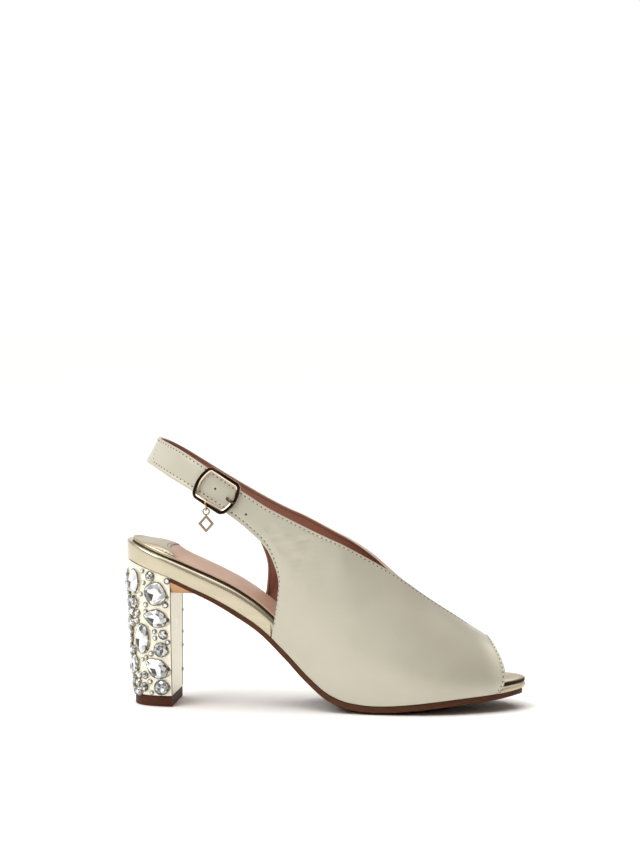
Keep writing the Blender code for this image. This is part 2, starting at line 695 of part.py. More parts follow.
def buckle_depth(along_strap):
    """Depth of the frame's middle above the strap: its side bars arch out between its end bars."""
    seat = GAP + 0.5 * BAR_DEEP
    return seat + BUCKLE_ARCH * max(0.0, 1.0 - (along_strap / BUCKLE_HALF_LONG) ** 2)


def buckle_spot(share):
    """Point at a share of the frame's middle line: round corners, straight side bars, bowed end bars."""
    long, wide = BUCKLE_HALF_LONG - BUCKLE_CORNER, BUCKLE_HALF_WIDE - BUCKLE_CORNER
    corner = 0.5 * math.pi * BUCKLE_CORNER
    quarter, rest = divmod(4.0 * (share % 1.0), 1.0)
    reach = (1.0 - rest if quarter % 2 else rest) * (wide + corner + long)
    if reach < wide:
        u, w = BUCKLE_HALF_LONG, reach
    elif reach < wide + corner:
        turn = (reach - wide) / BUCKLE_CORNER
        u, w = long + BUCKLE_CORNER * math.cos(turn), wide + BUCKLE_CORNER * math.sin(turn)
    else:
        u, w = long + wide + corner - reach, BUCKLE_HALF_WIDE
    u *= 1.0 - BUCKLE_BOW * (w / BUCKLE_HALF_WIDE) ** 2
    return Vector((-u if quarter in (1, 2) else u, -w if quarter in (2, 3) else w))


def make_buckle_frame(material, matrix):
    """Squarish ring whose bars bow out."""
    count = 48
    nudge = 0.008
    rings = []
    for spot in range(count):
        share = spot / count
        u, w = buckle_spot(share)
        ahead = buckle_spot(share + nudge) - buckle_spot(share - nudge)
        outward = Vector((ahead.y, -ahead.x)).normalized()
        depth = buckle_depth(u)
        ring = []
        for side, rise in ((-0.5, -0.3), (-0.5, 0.3), (-0.25, 0.5), (0.25, 0.5), (0.5, 0.3), (0.5, -0.3),
                           (0.25, -0.5), (-0.25, -0.5)):
            ring.append((u + outward.x * side * BAR_WIDE, w + outward.y * side * BAR_WIDE,
                         depth + rise * BAR_DEEP))
        rings.append(ring)
    bm = bmesh.new()
    loops = [[bm.verts.new(in_buckle(point)) for point in ring] for ring in rings]
    close_rings(bm, loops)
    return add_piece("buckle_frame", bm, material, matrix)


def close_rings(bm, loops):
    """Faces of a closed ring of loops."""
    for ring, following in zip(loops, loops[1:] + loops[:1]):
        count = len(ring)
        for spot in range(count):
            after = (spot + 1) % count
            bm.faces.new((ring[spot], ring[after], following[after], following[spot]))


def make_buckle_prong(material, matrix):
    """Tip of the prong: out of the strap's hole and over the front bar."""
    over_bar = GAP + BAR_DEEP + GAP + 0.5 * PRONG_DEEP
    low = GAP + 0.5 * PRONG_DEEP
    bar = BUCKLE_HALF_LONG
    route = [(PRONG_START, low + 0.5), (bar - 2.3, over_bar + 0.1), (bar - 1.1, over_bar + 0.35),
             (bar + 0.2, over_bar + 0.3), (PRONG_END, over_bar)]
    rings = []
    for u, depth in route:
        ring = []
        for side, rise in ((-0.5, -0.5), (0.5, -0.5), (0.5, 0.2), (0.25, 0.5), (-0.25, 0.5), (-0.5, 0.2)):
            ring.append((u, PRONG_OFFSET + side * PRONG_WIDE, depth + rise * PRONG_DEEP))
        rings.append(ring)
    return add_piece("buckle_prong", skin(rings, in_buckle), material, matrix)


def ring_mesh(radius, wire, around=20, section=8):
    """Round wire ring in the plane of its own first two directions."""
    bm = bmesh.new()
    loops = []
    for spot in range(around):
        turn = 2 * math.pi * spot / around
        loop = []
        for part in range(section):
            roll = 2 * math.pi * part / section
            reach = radius + wire * math.cos(roll)
            loop.append(bm.verts.new(Vector((reach * math.cos(turn), reach * math.sin(turn),
                                             wire * math.sin(roll))) * MM))
        loops.append(loop)
    close_rings(bm, loops)
    return bm


def link_axis(matrix):
    """Middle of the buckle's lower bar where the jump ring hangs."""
    spot = (LINK_PLACE, -BUCKLE_HALF_WIDE, buckle_depth(LINK_PLACE))
    return (matrix @ in_buckle(spot)).copy()


def make_charm_link(material, axis):
    """Jump ring round the buckle's lower bar, its origin on the bar, standing across the shoe."""
    bm = ring_mesh(LINK_RADIUS, LINK_WIRE)
    stand = Matrix.Translation((0.0, 0.0, -LINK_HANG * MM)) @ Matrix.Rotation(math.radians(90), 4, "Y")
    bmesh.ops.transform(bm, matrix=stand, verts=bm.verts)
    return add_piece("charm_link", bm, material, Matrix.Translation(axis))


def charm_axis(axis):
    """Bottom of the jump ring's wire, which the charm swings about."""
    return axis - Vector((0.0, 0.0, (LINK_HANG + LINK_RADIUS) * MM))


def ring_of_points(radius, centre, count):
    """Points of a circle."""
    turns = [2 * math.pi * spot / count for spot in range(count)]
    return [(radius * math.sin(turn), centre + radius * math.cos(turn)) for turn in turns]


def lozenge(half_wide, top, bottom):
    """Corners of a lozenge standing on its point."""
    middle = 0.5 * (top + bottom)
    return [(0.0, top), (half_wide, middle), (0.0, bottom), (-half_wide, middle)]


def make_charm(material, axis):
    """Flat open lozenge with an eye at its top, its origin on the jump ring's wire."""
    eye = -EYE_HANG
    eye_outside = EYE_RADIUS + EYE_WIRE
    join_angle = math.radians(32)
    arc = [math.radians(angle) for angle in range(-148, 149, 37)]
    outline = [(eye_outside * math.sin(turn), eye + eye_outside * math.cos(turn)) for turn in arc]
    neck = eye - eye_outside * math.cos(join_angle)
    middle = neck - 0.5 * CHARM_TALL
    outline += [(CHARM_HALF_WIDE, middle), (0.0, neck - CHARM_TALL), (-CHARM_HALF_WIDE, middle)]
    eye_hole = ring_of_points(EYE_RADIUS - EYE_WIRE, eye, 12)
    slack = CHARM_BAR * 1.45
    window = lozenge(CHARM_HALF_WIDE - slack, neck - slack - 0.4, neck - CHARM_TALL + slack)
    bm = bmesh.new()
    edges = []
    for loop in (outline, eye_hole, window):
        verts = [bm.verts.new(Vector((x, -0.5 * CHARM_THICKNESS, z)) * MM) for x, z in loop]
        edges += [bm.edges.new((verts[spot], verts[spot - 1])) for spot in range(len(verts))]
    filled = bmesh.ops.triangle_fill(bm, use_beauty=True, edges=edges)
    faces = [item for item in filled["geom"] if isinstance(item, bmesh.types.BMFace)]
    thick = bmesh.ops.extrude_face_region(bm, geom=faces)
    moved = [item for item in thick["geom"] if isinstance(item, bmesh.types.BMVert)]
    bmesh.ops.translate(bm, vec=(0.0, CHARM_THICKNESS * MM, 0.0), verts=moved)
    return add_piece("charm", bm, material, Matrix.Translation(axis))


def clear_scene():
    """An empty scene to build in."""
    for item in list(bpy.data.objects):
        bpy.data.objects.remove(item, do_unlink=True)


def main():
    """Every piece of the shoe."""
    clear_scene()
    sole_leather = make_material("sole_leather", (0.080, 0.030, 0.010), 0.45)
    gold_leather = make_material("gold_leather", (0.72, 0.66, 0.48), 0.28, 0.6)
    sock_leather = make_material("sock_leather", (0.47, 0.27, 0.19), 0.55)
    upper_leather = make_material("upper_leather", (0.58, 0.53, 0.42), 0.42)
    heel_cover = make_material("heel_cover", (0.74, 0.68, 0.48), 0.2, 0.8)
    top_piece_rubber = make_material("top_piece_rubber", (0.085, 0.035, 0.020), 0.55)
    buckle_metal = make_material("buckle_metal", (0.78, 0.60, 0.38), 0.15, 1.0)
    cut_glass = make_material("cut_glass", (0.86, 0.88, 0.86), 0.05, 0.2)
    make_outsole(sole_leather)
    make_footbed(gold_leather)
    make_insole(sock_leather)
    make_upper(upper_leather)
    make_heel(heel_cover)
    make_top_piece(top_piece_rubber)
    for number, stone in enumerate(STONES, 1):
        make_stone(number, stone, cut_glass)
    matrix = buckle_matrix()
    make_buckle_frame(buckle_metal, matrix)
    make_buckle_prong(buckle_metal, matrix)
    axis = link_axis(matrix)
    make_charm_link(buckle_metal, axis)
    make_charm(buckle_metal, charm_axis(axis))


main()
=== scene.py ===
"""Looks of the right-foot slingback sandal: pearly upper, gold-edged footbed and jewelled heel.

Lengths are millimetres in the shoe's own directions, as in the part's source: along runs from the
back of the heel seat to the toe, across from the outer side (negative) to the inner side, up from
the floor.  place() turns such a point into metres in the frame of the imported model.
"""
import math
from collections import namedtuple

import bmesh
import bpy
import numpy as np
from mathutils import Matrix, Vector


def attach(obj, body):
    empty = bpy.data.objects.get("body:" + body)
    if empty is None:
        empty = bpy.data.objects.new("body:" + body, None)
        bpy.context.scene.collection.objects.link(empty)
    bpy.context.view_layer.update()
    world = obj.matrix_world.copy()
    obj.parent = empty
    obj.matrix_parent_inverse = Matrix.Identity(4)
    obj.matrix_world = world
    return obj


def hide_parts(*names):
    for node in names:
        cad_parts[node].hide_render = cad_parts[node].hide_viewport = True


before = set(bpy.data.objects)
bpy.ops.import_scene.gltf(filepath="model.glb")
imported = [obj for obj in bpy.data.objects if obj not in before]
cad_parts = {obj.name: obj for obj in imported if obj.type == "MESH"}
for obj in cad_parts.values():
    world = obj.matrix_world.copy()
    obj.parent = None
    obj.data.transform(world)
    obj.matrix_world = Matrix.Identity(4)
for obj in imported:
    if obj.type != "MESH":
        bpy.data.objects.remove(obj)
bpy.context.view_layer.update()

MM = 0.001

# Driving sizes, the same as in the part's source
SHOE_LENGTH = 217.0
BALL_WIDTH = 74.6
SEAT_HEIGHT = 78.0
GAP = 0.3
SOLE_INSET = 0.6
FLAT_SHARE = 0.42
HEEL_ROUND = 24.0
SEAT_BACK = -0.8
TOE_ROUND = 24.0
SOLE_TOE_INSET = 1.6
LIP_DEPTH = 6.2
LIP_LENGTH = 14.0
LIP_EDGE = 6
BED_SHOULDER = 2.4
BED_STEP = 0.45
STEP_RAMP = 0.3
STEP_EDGE = 0.01
INSOLE_THICKNESS = 1.9
INSOLE_INSET = 2.4
INSOLE_TOE_INSET = 0.2
HEEL_PAD = 1.9
PAD_ROUND = 18.0
PAD_THIN = 0.8
PAD_FALL = (23.0, 33.0)
WALL = 1.6
UPPER_LIFT = 0.45
UPPER_SEAT = WALL + 0.5

# Block heel and its top piece
BREAST_TOP = 26.1
BREAST_FLOOR = 26.4
HEEL_BACK_TOP = 0.0
HEEL_BACK_FLOOR = 3.8
HEEL_HALF_TOP = 22.4
HEEL_HALF_FLOOR = 18.4
HEEL_SQUARENESS = 2.4
TOP_PIECE = 5.5
HEEL_BASE = TOP_PIECE + GAP
HEEL_REST = 0.5 * (BREAST_FLOOR + HEEL_BACK_FLOOR)

# Buckle and charm
BUCKLE_SECTION = 13.9
BUCKLE_HALF_LONG = 10.9
BUCKLE_HALF_WIDE = 8.55
BUCKLE_CORNER = 1.7
BUCKLE_BOW = 0.2
BUCKLE_ARCH = 2.2
BAR_WIDE = 2.5
BAR_DEEP = 1.7
PRONG_WIDE = 1.7
PRONG_DEEP = 1.1
PRONG_START = 6.6
PRONG_END = 11.8
PRONG_OFFSET = -0.4
LINK_PLACE = -0.7
LINK_RADIUS = 3.0
LINK_WIRE = 0.4
LINK_HANG = 0.7
EYE_RADIUS = 1.7
EYE_WIRE = 0.35
EYE_HANG = 0.65
CHARM_THICKNESS = 0.9
CHARM_HALF_WIDE = 4.3
CHARM_TALL = 9.6
CHARM_BAR = 1.2

# Stones
STONE_SEAT = 0.3
STONE_GIRDLE = 0.9
STONE_CROWN = 0.17
STONE_TABLE = 0.56
CUSHION_POWER = 0.7
PEAR_TAPER = 0.45

SoleRow = namedtuple("SoleRow", "along centre half seam bed sole drop")
# along: % of the length.  centre: % of the ball width.  half: % of half the ball width.
# seam: height of the joint of outsole and footbed, % of the seat height.
# bed, sole: thickness of footbed and outsole.  drop: how far the tread's middle lies below its edge.
SOLE_ROWS = [SoleRow(*row) for row in (
    (0.0, 0.0, 64.0, 102.4, 10.0, 2.0, 0.6), (6.0, 0.0, 64.5, 96.8, 9.6, 2.0, 0.6),
    (12.5, 0.0, 65.0, 90.1, 9.3, 2.0, 0.6), (17.0, -0.4, 64.5, 84.4, 9.6, 2.0, 0.6),
    (23.0, -1.3, 62.5, 76.9, 9.8, 2.3, 0.6), (29.0, -2.4, 60.0, 67.6, 10.5, 2.6, 0.7),
    (35.0, -3.5, 59.0, 56.4, 10.4, 2.6, 0.9), (41.0, -4.3, 61.5, 40.8, 10.5, 2.7, 1.2),
    (47.0, -3.7, 68.5, 23.8, 10.0, 2.8, 1.8), (51.0, -2.6, 76.0, 14.4, 8.8, 2.9, 2.6),
    (55.0, -0.8, 84.0, 8.9, 7.2, 2.9, 3.4), (60.0, 0.8, 92.0, 6.1, 6.1, 3.0, 3.6),
    (66.0, 2.4, 98.3, 5.6, 5.8, 3.0, 3.6), (72.0, 3.0, 100.0, 6.8, 5.5, 3.0, 3.0),
    (78.0, 3.2, 97.3, 8.6, 5.2, 3.0, 2.4), (84.0, 3.3, 88.0, 10.4, 4.8, 3.0, 2.0),
    (90.0, 3.3, 70.5, 11.6, 3.8, 3.0, 1.6), (95.0, 3.3, 59.5, 12.7, 3.0, 2.6, 1.2),
    (100.0, 3.3, 52.0, 14.4, 2.7, 2.2, 0.8),
)]

# Sections of the upper, from the toe opening back to the middle of the sling.
# low: the lower edge, on the sole where only its place along is given.  top: the upper edge.
# swell_low, swell_high: how far the wall stands out of the straight line between the two.
# roof: share by which the wall flattens towards its top.
# lead_low, lead_high: how far its lower and upper half lean forward.
Section = namedtuple("Section", "low top swell_low swell_high roof lead_low lead_high", defaults=(0.0,) * 5)
TOE_TOP = (197.4, 2.4, 37.9)
V_POINT = (188.6, 2.4, 43.3)
SLING_BACK = ((9.6, 0.0, 132.3), (16.6, 0.0, 145.5))
V_ROW = 1
CORNER_ROW = 8
CORNER_FADE = 0.6
OUTER_SECTIONS = [Section(*row) for row in (
    ((202.4,), TOE_TOP, 10.5, 8.0, 1.0, 14.0, 0.4), ((199.6,), V_POINT, 10.6, 8.0, 0.95, 6.8, -0.6),
    ((190.6,), (179.0, -4.6, 50.7), 10.6, 7.6, 0.55, 3.8, -0.8),
    ((176.0,), (165.0, -10.8, 60.6), 11.0, 7.6, 0.32, 1.6, -0.2),
    ((158.0,), (148.0, -17.2, 73.4), 10.6, 7.2, 0.12, 0.2, 0.2),
    ((138.0,), (133.0, -22.0, 82.7), 8.8, 6.2, 0.06), ((119.0,), (121.0, -25.2, 89.6), 7.0, 5.2, 0.10),
    ((100.0,), (112.5, -26.3, 93.6), 6.0, 4.6), ((81.6,), (104.5, -27.1, 97.4), 5.0, 4.2),
    ((85.0, -27.4, 60.5), (97.0, -27.7, 101.1), 2.6, 3.0),
    ((85.5, -29.0, 73.0), (91.0, -28.1, 104.1), 1.6, 2.2),
    ((80.0, -30.1, 87.3), (85.0, -28.3, 107.2), 1.0, 1.4),
    ((70.6, -30.8, 97.1), (78.6, -28.5, 110.7), 0.6, 0.8),
    ((60.2, -30.8, 105.4), (67.6, -28.8, 117.8), 0.3, 0.3),
    ((48.0, -29.8, 113.0), (55.3, -28.4, 126.0), 0.2, 0.2),
    ((36.0, -27.2, 120.2), (43.2, -26.5, 133.6), 0.1, 0.1), ((25.5, -22.0, 125.6), (32.2, -21.7, 139.8)),
    ((16.6, -13.6, 129.9), (23.6, -13.5, 143.4)), ((11.3, -5.8, 131.9), (18.2, -5.8, 145.1)), SLING_BACK,
)]
INNER_SECTIONS = [Section(*row) for row in (
    ((202.6,), TOE_TOP, 10.5, 8.0, 1.0, 6.4, -4.2), ((196.4,), V_POINT, 10.6, 8.0, 0.95, 5.0, -3.2),
    ((188.4,), (179.0, 9.4, 48.2), 10.6, 7.6, 0.5, 3.2, -2.0),
    ((175.0,), (165.0, 15.4, 55.4), 10.8, 7.6, 0.3, 1.4, -0.6),
    ((158.0,), (148.0, 20.8, 67.1), 10.2, 7.2, 0.12, 0.2, 0.2),
    ((138.0,), (133.0, 23.8, 79.5), 8.4, 6.2, 0.06), ((117.0,), (121.0, 25.6, 87.3), 6.2, 5.6, 0.10),
    ((95.0,), (111.0, 26.8, 92.2), 4.8, 5.4), ((70.6,), (101.5, 27.7, 97.0), 3.4, 4.6),
    ((73.4, 22.0, 61.5), (93.0, 28.3, 101.2), 2.0, 3.2),
    ((73.4, 24.6, 73.6), (86.0, 28.7, 104.1), 1.4, 2.2),
    ((69.0, 26.9, 85.5), (79.0, 29.0, 107.4), 1.0, 1.4),
    ((61.5, 28.4, 97.0), (70.2, 29.1, 112.0), 0.6, 0.8),
    ((51.0, 29.0, 105.2), (58.6, 29.1, 118.5), 0.3, 0.3),
    ((39.5, 28.2, 112.4), (47.0, 28.5, 125.4), 0.2, 0.2),
    ((29.5, 26.0, 118.6), (36.6, 26.6, 132.0), 0.1, 0.1), ((21.0, 21.2, 124.2), (27.8, 21.8, 138.0)),
    ((14.3, 13.4, 129.2), (21.2, 13.7, 142.6)), ((10.5, 5.8, 131.7), (17.5, 5.8, 144.9)), SLING_BACK,
)]

# Stones on the round back of the heel.  angle: degrees round from the middle of the back, the
# outer side negative.  up: height above the floor.  lean: turn of the stone in its own plane.
Stone = namedtuple("Stone", "kind angle up wide tall lean", defaults=(0.0,))
STONES = [Stone(*row) for row in (
    ("oval", -40.0, 68.0, 8.6, 13.4), ("round", -69.0, 71.4, 4.7, 4.7),
    ("cushion", -75.2, 61.9, 11.4, 11.4, 45.0), ("pear", -74.2, 48.5, 9.6, 13.4, -90.0),
    ("oval", -52.0, 36.8, 9.4, 16.2), ("round", -83.0, 39.5, 4.7, 4.7), ("round", -80.0, 31.2, 7.6, 7.6),
    ("pear", -73.5, 21.1, 10.2, 13.8, -60.0), ("round", -54.5, 16.8, 3.8, 3.8),
    ("round", -79.5, 10.4, 7.9, 7.9), ("round", -52.5, 10.2, 4.6, 4.6), ("round", -38.0, 56.6, 6.6, 6.6),
    ("oval", -33.0, 22.8, 6.0, 9.4), ("cushion", 2.0, 65.6, 9.8, 9.8), ("round", 1.0, 54.0, 7.0, 7.0),
    ("pear", 0.0, 41.8, 9.4, 12.8), ("round", 1.0, 30.6, 6.2, 6.2), ("oval", 0.0, 19.4, 8.8, 12.4),
    ("round", 0.0, 8.8, 5.2, 5.2), ("oval", 45.0, 62.0, 8.8, 13.6), ("round", 27.0, 49.4, 5.0, 5.0),
    ("round", 47.0, 48.0, 6.2, 6.2), ("oval", 48.0, 34.6, 8.4, 12.4),
    ("cushion", 46.0, 18.6, 9.0, 9.0, 45.0), ("round", 48.0, 8.4, 3.8, 3.8),
    ("round", 75.0, 64.4, 7.4, 7.4), ("pear", 74.0, 54.0, 9.2, 12.6, 90.0),
    ("cushion", 75.0, 41.8, 10.4, 10.4, 45.0), ("round", 79.0, 32.0, 4.8, 4.8),
    ("pear", 74.0, 22.0, 9.4, 12.6, 60.0), ("round", 78.0, 10.2, 7.4, 7.4),
)]

# Small stones between the large ones on the outer side; the rest of the heel is filled by rule.
SmallStone = namedtuple("SmallStone", "angle up size")
SMALL_STONES = [SmallStone(*row) for row in (
    (-57.5, 74.0, 2.2), (-58.5, 67.6, 2.2), (-88.0, 68.9, 2.8), (-52.5, 61.2, 2.3), (-60.5, 55.6, 2.5),
    (-86.0, 55.8, 2.8), (-60.0, 51.9, 2.2), (-44.0, 50.6, 3.4), (-72.2, 41.0, 2.2), (-72.6, 37.4, 2.2),
    (-87.5, 35.4, 2.3), (-66.0, 28.8, 2.6), (-57.5, 26.7, 2.0), (-50.5, 25.2, 1.9), (-62.5, 13.3, 2.4),
    (-64.5, 7.3, 2.2), (-38.0, 12.4, 3.6),
)]
FILL_SIZES = (4.2, 3.2, 2.4)
FILL_ANGLES = range(-48, 88, 3)
FILL_HEIGHTS = np.arange(7.4, 73.0, 1.5)
FILL_SLACK = 0.35

# Stitch rows on the upper
STITCH_SPACING = 2.6
TOP_INSET = 1.35
LOW_INSET = 2.2
# Length, width and height of a stitch, of the shaded bead for the needle's hole beside it and of a punched
# hole
THREAD_SIZE = (1.7, 0.5, 0.42)
HOLE_SIZE = (0.95, 0.66, 0.34)
STRAP_HOLE_SIZE = (1.4, 1.4, 0.2)
# Stitched end of the strap: section number at its lower and its upper edge
STRAP_END = (17.3, 18.1)
# Holes of the strap: section number and share, one under the prong
STRAP_HOLES = [(13.995, 0.53), (13.2, 0.46), (12.5, 0.39)]

# Mesh steps of the soles: degrees round an end, and the share of its radius they take up
ROUND_ANGLES = range(4, 78, 4)
ROUND_SHARE = 0.75
# Mesh steps of the upper: places in from an edge, then even steps between
EDGE_PLACES = (0.0, 0.45, 0.95, 1.5, 2.1, 2.7, 3.4, 4.4)
STEPS_PER_SECTION = 10
STEPS_BETWEEN = 24
# The curved wall is longer than its straight line by this share
ARC_SHARE = 1.03
# Folded edge and the pull of the stitches beside it
FOLD_WIDTH = 0.5
FOLD_PLACE = 0.4
STITCH_DIP = 0.16
STITCH_DIP_WIDTH = 0.6
EDGE_PUFF = 0.1

# Soft creases of the outer quarter, where the strap bends out of the vamp.
# start and end are section number and share of height; depth and width in mm.
Crease = namedtuple("Crease", "start end depth width")
CREASES = [Crease(*row) for row in (
    ((11.36, 0.36), (10.87, 0.71), 0.32, 1.8), ((10.86, 0.30), (10.08, 0.72), 0.4, 1.9),
    ((10.13, 0.68), (8.86, 0.96), 0.34, 1.9), ((10.46, 0.31), (9.17, 0.75), 0.42, 2.0),
    ((9.25, 0.69), (7.63, 0.98), 0.34, 2.0), ((10.20, 0.33), (8.66, 0.74), 0.36, 2.0),
    ((8.37, 0.79), (7.11, 0.94), 0.3, 2.0), ((9.13, 0.50), (7.61, 0.81), 0.4, 2.1),
    ((7.49, 0.75), (6.42, 0.86), 0.3, 2.2), ((5.6, 0.62), (4.1, 0.74), 0.16, 3.4),
    ((4.2, 0.30), (2.7, 0.44), 0.18, 4.0),
)]

# Footbed and sock.  A growth says where it starts and over what length; that of the raw edge
# starts so far behind the end of the heel part.
BACK_SHOULDER = 1.2
SHOULDER_GROWTH = (8.0, 37.0)
SOCK_TOE_JOIN = 197.0
SOCK_RADIUS = 0.8
# RAW_EDGE, ROLLED_EDGE and TOE_EDGE: height of the sock's dark edge band, its raw edge and the painted shadow
# of the gap between sock and footbed.
RAW_EDGE = 0.9
ROLLED_EDGE = 0.35
TOE_EDGE = 1.6
TOE_RADIUS = 0.25
PAD_EDGE = 4.0
TOE_CROWN = 2.4
CROWN_FROM = 190.0
CROWN_REACH = 14.0
CROWN_EDGE = 8.0
HEEL_SOCK_END = 28.6
HEEL_SOCK_HOLLOW = 6.0
INNER_HOLLOW = 0.3
HEEL_SOCK_THICKNESS = 0.35
HEEL_SOCK_INSET = 0.35
HEEL_SOCK_LIFT = 0.05
SCALLOP = 0.9
SCALLOPS = 13
HEEL_SOCK_ROWS = (0.0, 0.012, 0.03, 0.06, 0.1, 0.16, 0.25, 0.36, 0.5, 0.65, 0.8, 0.92, 1.0)
SOCK_INSETS = (0.0, 0.1, 0.3, SOCK_RADIUS, 1.6, 2.6, PAD_EDGE, 6.0, CROWN_EDGE)
RAW_EDGE_GROWTH = (4.0, 5.0)
BED_FOOT = 0.2
BED_FOOT_RISE = 0.35
DOT_SIZE = (0.75, 0.75, 0.14)
DOT_INSET = 1.7

# Heel edges, and how far past its lip the sole is left tan
TAN_REACH = 4.0
EDGE_BEAD = 0.2
TOP_PIECE_ROUND = 0.35

# Cut of the stones; the light thrown back by the facets of fancy and of round ones is painted into them,
# drawn at random
# Facets turned to the lower left are painted darker: painted shade.
GEM_SIDES = 16
GEM_MIDDLE = 0.8
GEM_MIDDLE_RISE = 0.58
GIRDLE_LOW = 0.45
FLAT_ANGLE = math.radians(1.5)
FANCY_CROWN = (0.35, 0.6, 0.72, 0.82, 0.9, 0.97)
FANCY_TABLE = (0.86, 0.93, 0.97, 1.0, 1.0)
ROUND_CROWN = (0.12, 0.32, 0.5, 0.68, 0.85)
ROUND_TABLE = (0.2, 0.42, 0.65, 0.9, 1.0)
GEM_SEED = 11
TABLE_FACING = 0.9
SHADED_TURN = 0.7
SHADED_SHARE = 0.45
SIDE_FLASH = 0.2
DARK_FLASH = 0.08
DARK_TURN = (0.55, 0.9)
SMALL_TABLE_FLASH = 0.95
SMALL_CROWN_FLASH = (0.42, 0.66, 0.9)
SMALL_SIDE_FLASH = 0.4
SMALL_LIFT = 0.25

# Settings of the stones
COLLAR_REACH = 0.32
COLLAR_TUCK = 0.05
COLLAR_FOOT = 0.02
COLLAR_LIP = STONE_SEAT + 0.62 * STONE_GIRDLE
COLLAR_ROUND = 0.25
CLAW_SIZE = (0.8, 0.62, 0.7)
CLAW_REACH = 0.1
CLAW_TILT = 0.7
CLAW_RISE = 0.95
SIX_CLAWS_OVER = 6.5

# Fine wrinkles of the quarter; their middle and the reach of their fade are in metres
WRINKLE_MIDDLE = (0.082, -0.033, 0.091)
WRINKLE_STRETCH = (0.34, 0.34, 1.0)
WRINKLE_FADE = (0.010, 0.034)

# Camera of the photograph
CAMERA_PLACE = (263.7, -1481.6, 245.7)
CAMERA_YAW = 6.105
CAMERA_PITCH = 3.607
CAMERA_LENS = 116.0
SENSOR = 36.0

# Room round the shoe, in shares of its strength: the dark band low on the camera's side, the half light
# over it, the side behind the shoe and overhead; both ends of the camera's side are shaded
ROOM_STRENGTH = 2.0
LOW_SHARE = 0.06
HALF_SHARE = 0.42
BACK_SHARE = 0.53
TOP_SHARE = 1.34
RIGHT_SHADE = (0.26, 0.20, 0.17, 1.0)
LEFT_SHADE = (0.36, 0.33, 0.31, 1.0)


def held(share):
    """A share kept between 0 and 1."""
    return min(max(share, 0.0), 1.0)


def softened(share):
    """A share that starts and ends softly."""
    return share * share * (3.0 - 2.0 * share)


def circle(count, shift=0.0):
    """Even turns round a circle, shifted by a share of a step."""
    return [2 * math.pi * (spot + shift) / count for spot in range(count)]


def run_lengths(points):
    """Length run at each point of a line."""
    return np.concatenate([[0.0], np.cumsum(np.linalg.norm(np.diff(points, axis=0), axis=1))])

def hermite(start, end, start_slope, end_slope, share):
    """Cubic from start to end with the given slopes over the whole step."""
    square = share * share
    cube = square * share
    return (start * (2 * cube - 3 * square + 1) + start_slope * (cube - 2 * square + share)
            + end * (3 * square - 2 * cube) + end_slope * (cube - square))


def curve_through(places, values):
    """Smooth curve through a column of a table, read by place."""
    places = np.asarray(places, float)
    values = np.asarray(values, float)
    slopes = np.gradient(values, places)

    def read(at):
        at = min(max(at, places[0]), places[-1])
        row = min(int(np.searchsorted(places, at, side="right")) - 1, len(places) - 2)
        span = places[row + 1] - places[row]
        share = (at - places[row]) / span
        return hermite(values[row], values[row + 1], slopes[row] * span, slopes[row + 1] * span, share)

    return read


def sole_column(column, unit):
    """One column of the sole table as a curve along the shoe."""
    places = [row.along * SHOE_LENGTH / 100 for row in SOLE_ROWS]
    values = [getattr(row, column) * unit for row in SOLE_ROWS]
    return curve_through(places, values)


centre_line = sole_column("centre", BALL_WIDTH / 100)
straight_half = sole_column("half", BALL_WIDTH / 200)
seam_height = sole_column("seam", SEAT_HEIGHT / 100)
bed_thickness = sole_column("bed", 1.0)
sole_thickness = sole_column("sole", 1.0)
tread_drop = sole_column("drop", 1.0)


def place(point):
    """A point of the shoe in metres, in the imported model's frame."""
    return Vector(((point[0] - HEEL_REST) * MM, point[1] * MM, point[2] * MM))


def round_end(distance, radius):
    """Share of the full width at a distance from a rounded end."""
    if distance >= radius:
        return 1.0
    return math.sqrt(max(0.0, 1.0 - (1.0 - distance / radius) ** 2))


def half_width(along):
    """Half the width of the shoe's outline."""
    heel = round_end(along - SEAT_BACK, HEEL_ROUND)
    return straight_half(along) * heel * round_end(SHOE_LENGTH - along, TOE_ROUND)


def sole_depth(along):
    """Upright thickness of the outsole, more where it slopes."""
    slope = (seam_height(along + 1.0) - seam_height(along - 1.0)) / 2.0
    return sole_thickness(along) * math.hypot(1.0, slope)


def tread_height(along, share):
    """Underside of the outsole; share is -1 to 1 across.  Its middle is flat on the floor."""
    edge = seam_height(along) - sole_depth(along)
    bend = max(0.0, abs(share) - FLAT_SHARE) / (1.0 - FLAT_SHARE)
    lip = LIP_DEPTH * max(0.0, 1.0 - (along - BREAST_TOP) / LIP_LENGTH) * (1.0 - bend ** LIP_EDGE)
    return max(0.0, edge - tread_drop(along) * (1.0 - bend * bend) - lip)


def bed_top(along):
    """Height of the footbed's upper face."""
    return seam_height(along) + GAP + bed_thickness(along)


def sock_top(along):
    """Height of the insole's upper face."""
    return bed_top(along) + GAP + INSOLE_THICKNESS


def stations(start, end, step, start_round=0.0, end_round=0.0, extra=()):
    """Places along a piece: even steps, closer where its ends are round."""
    arcs = [math.radians(angle) for angle in ROUND_ANGLES]
    places = [start + start_round * (1 - math.cos(arc)) for arc in arcs if start_round]
    places += [end - end_round * (1 - math.cos(arc)) for arc in arcs if end_round]
    places += [start] if not start_round else []
    places += [end] if not end_round else []
    first = start + ROUND_SHARE * start_round
    last = end - ROUND_SHARE * end_round
    places += list(np.linspace(first, last, int((last - first) / step) + 1)[1:-1])
    return sorted(set(places) | set(extra))


def upper_seat(along, side):
    """Point on the outsole's edge where the upper stands."""
    return np.array((along, centre_line(along) + side * half_width(along), seam_height(along) + UPPER_LIFT))


def section_row(section, side):
    """A section as numbers: its two ends first, then the shape of the wall."""
    low = section.low if len(section.low) == 3 else upper_seat(section.low[0], side)
    return np.concatenate([low, section.top, section[2:]])


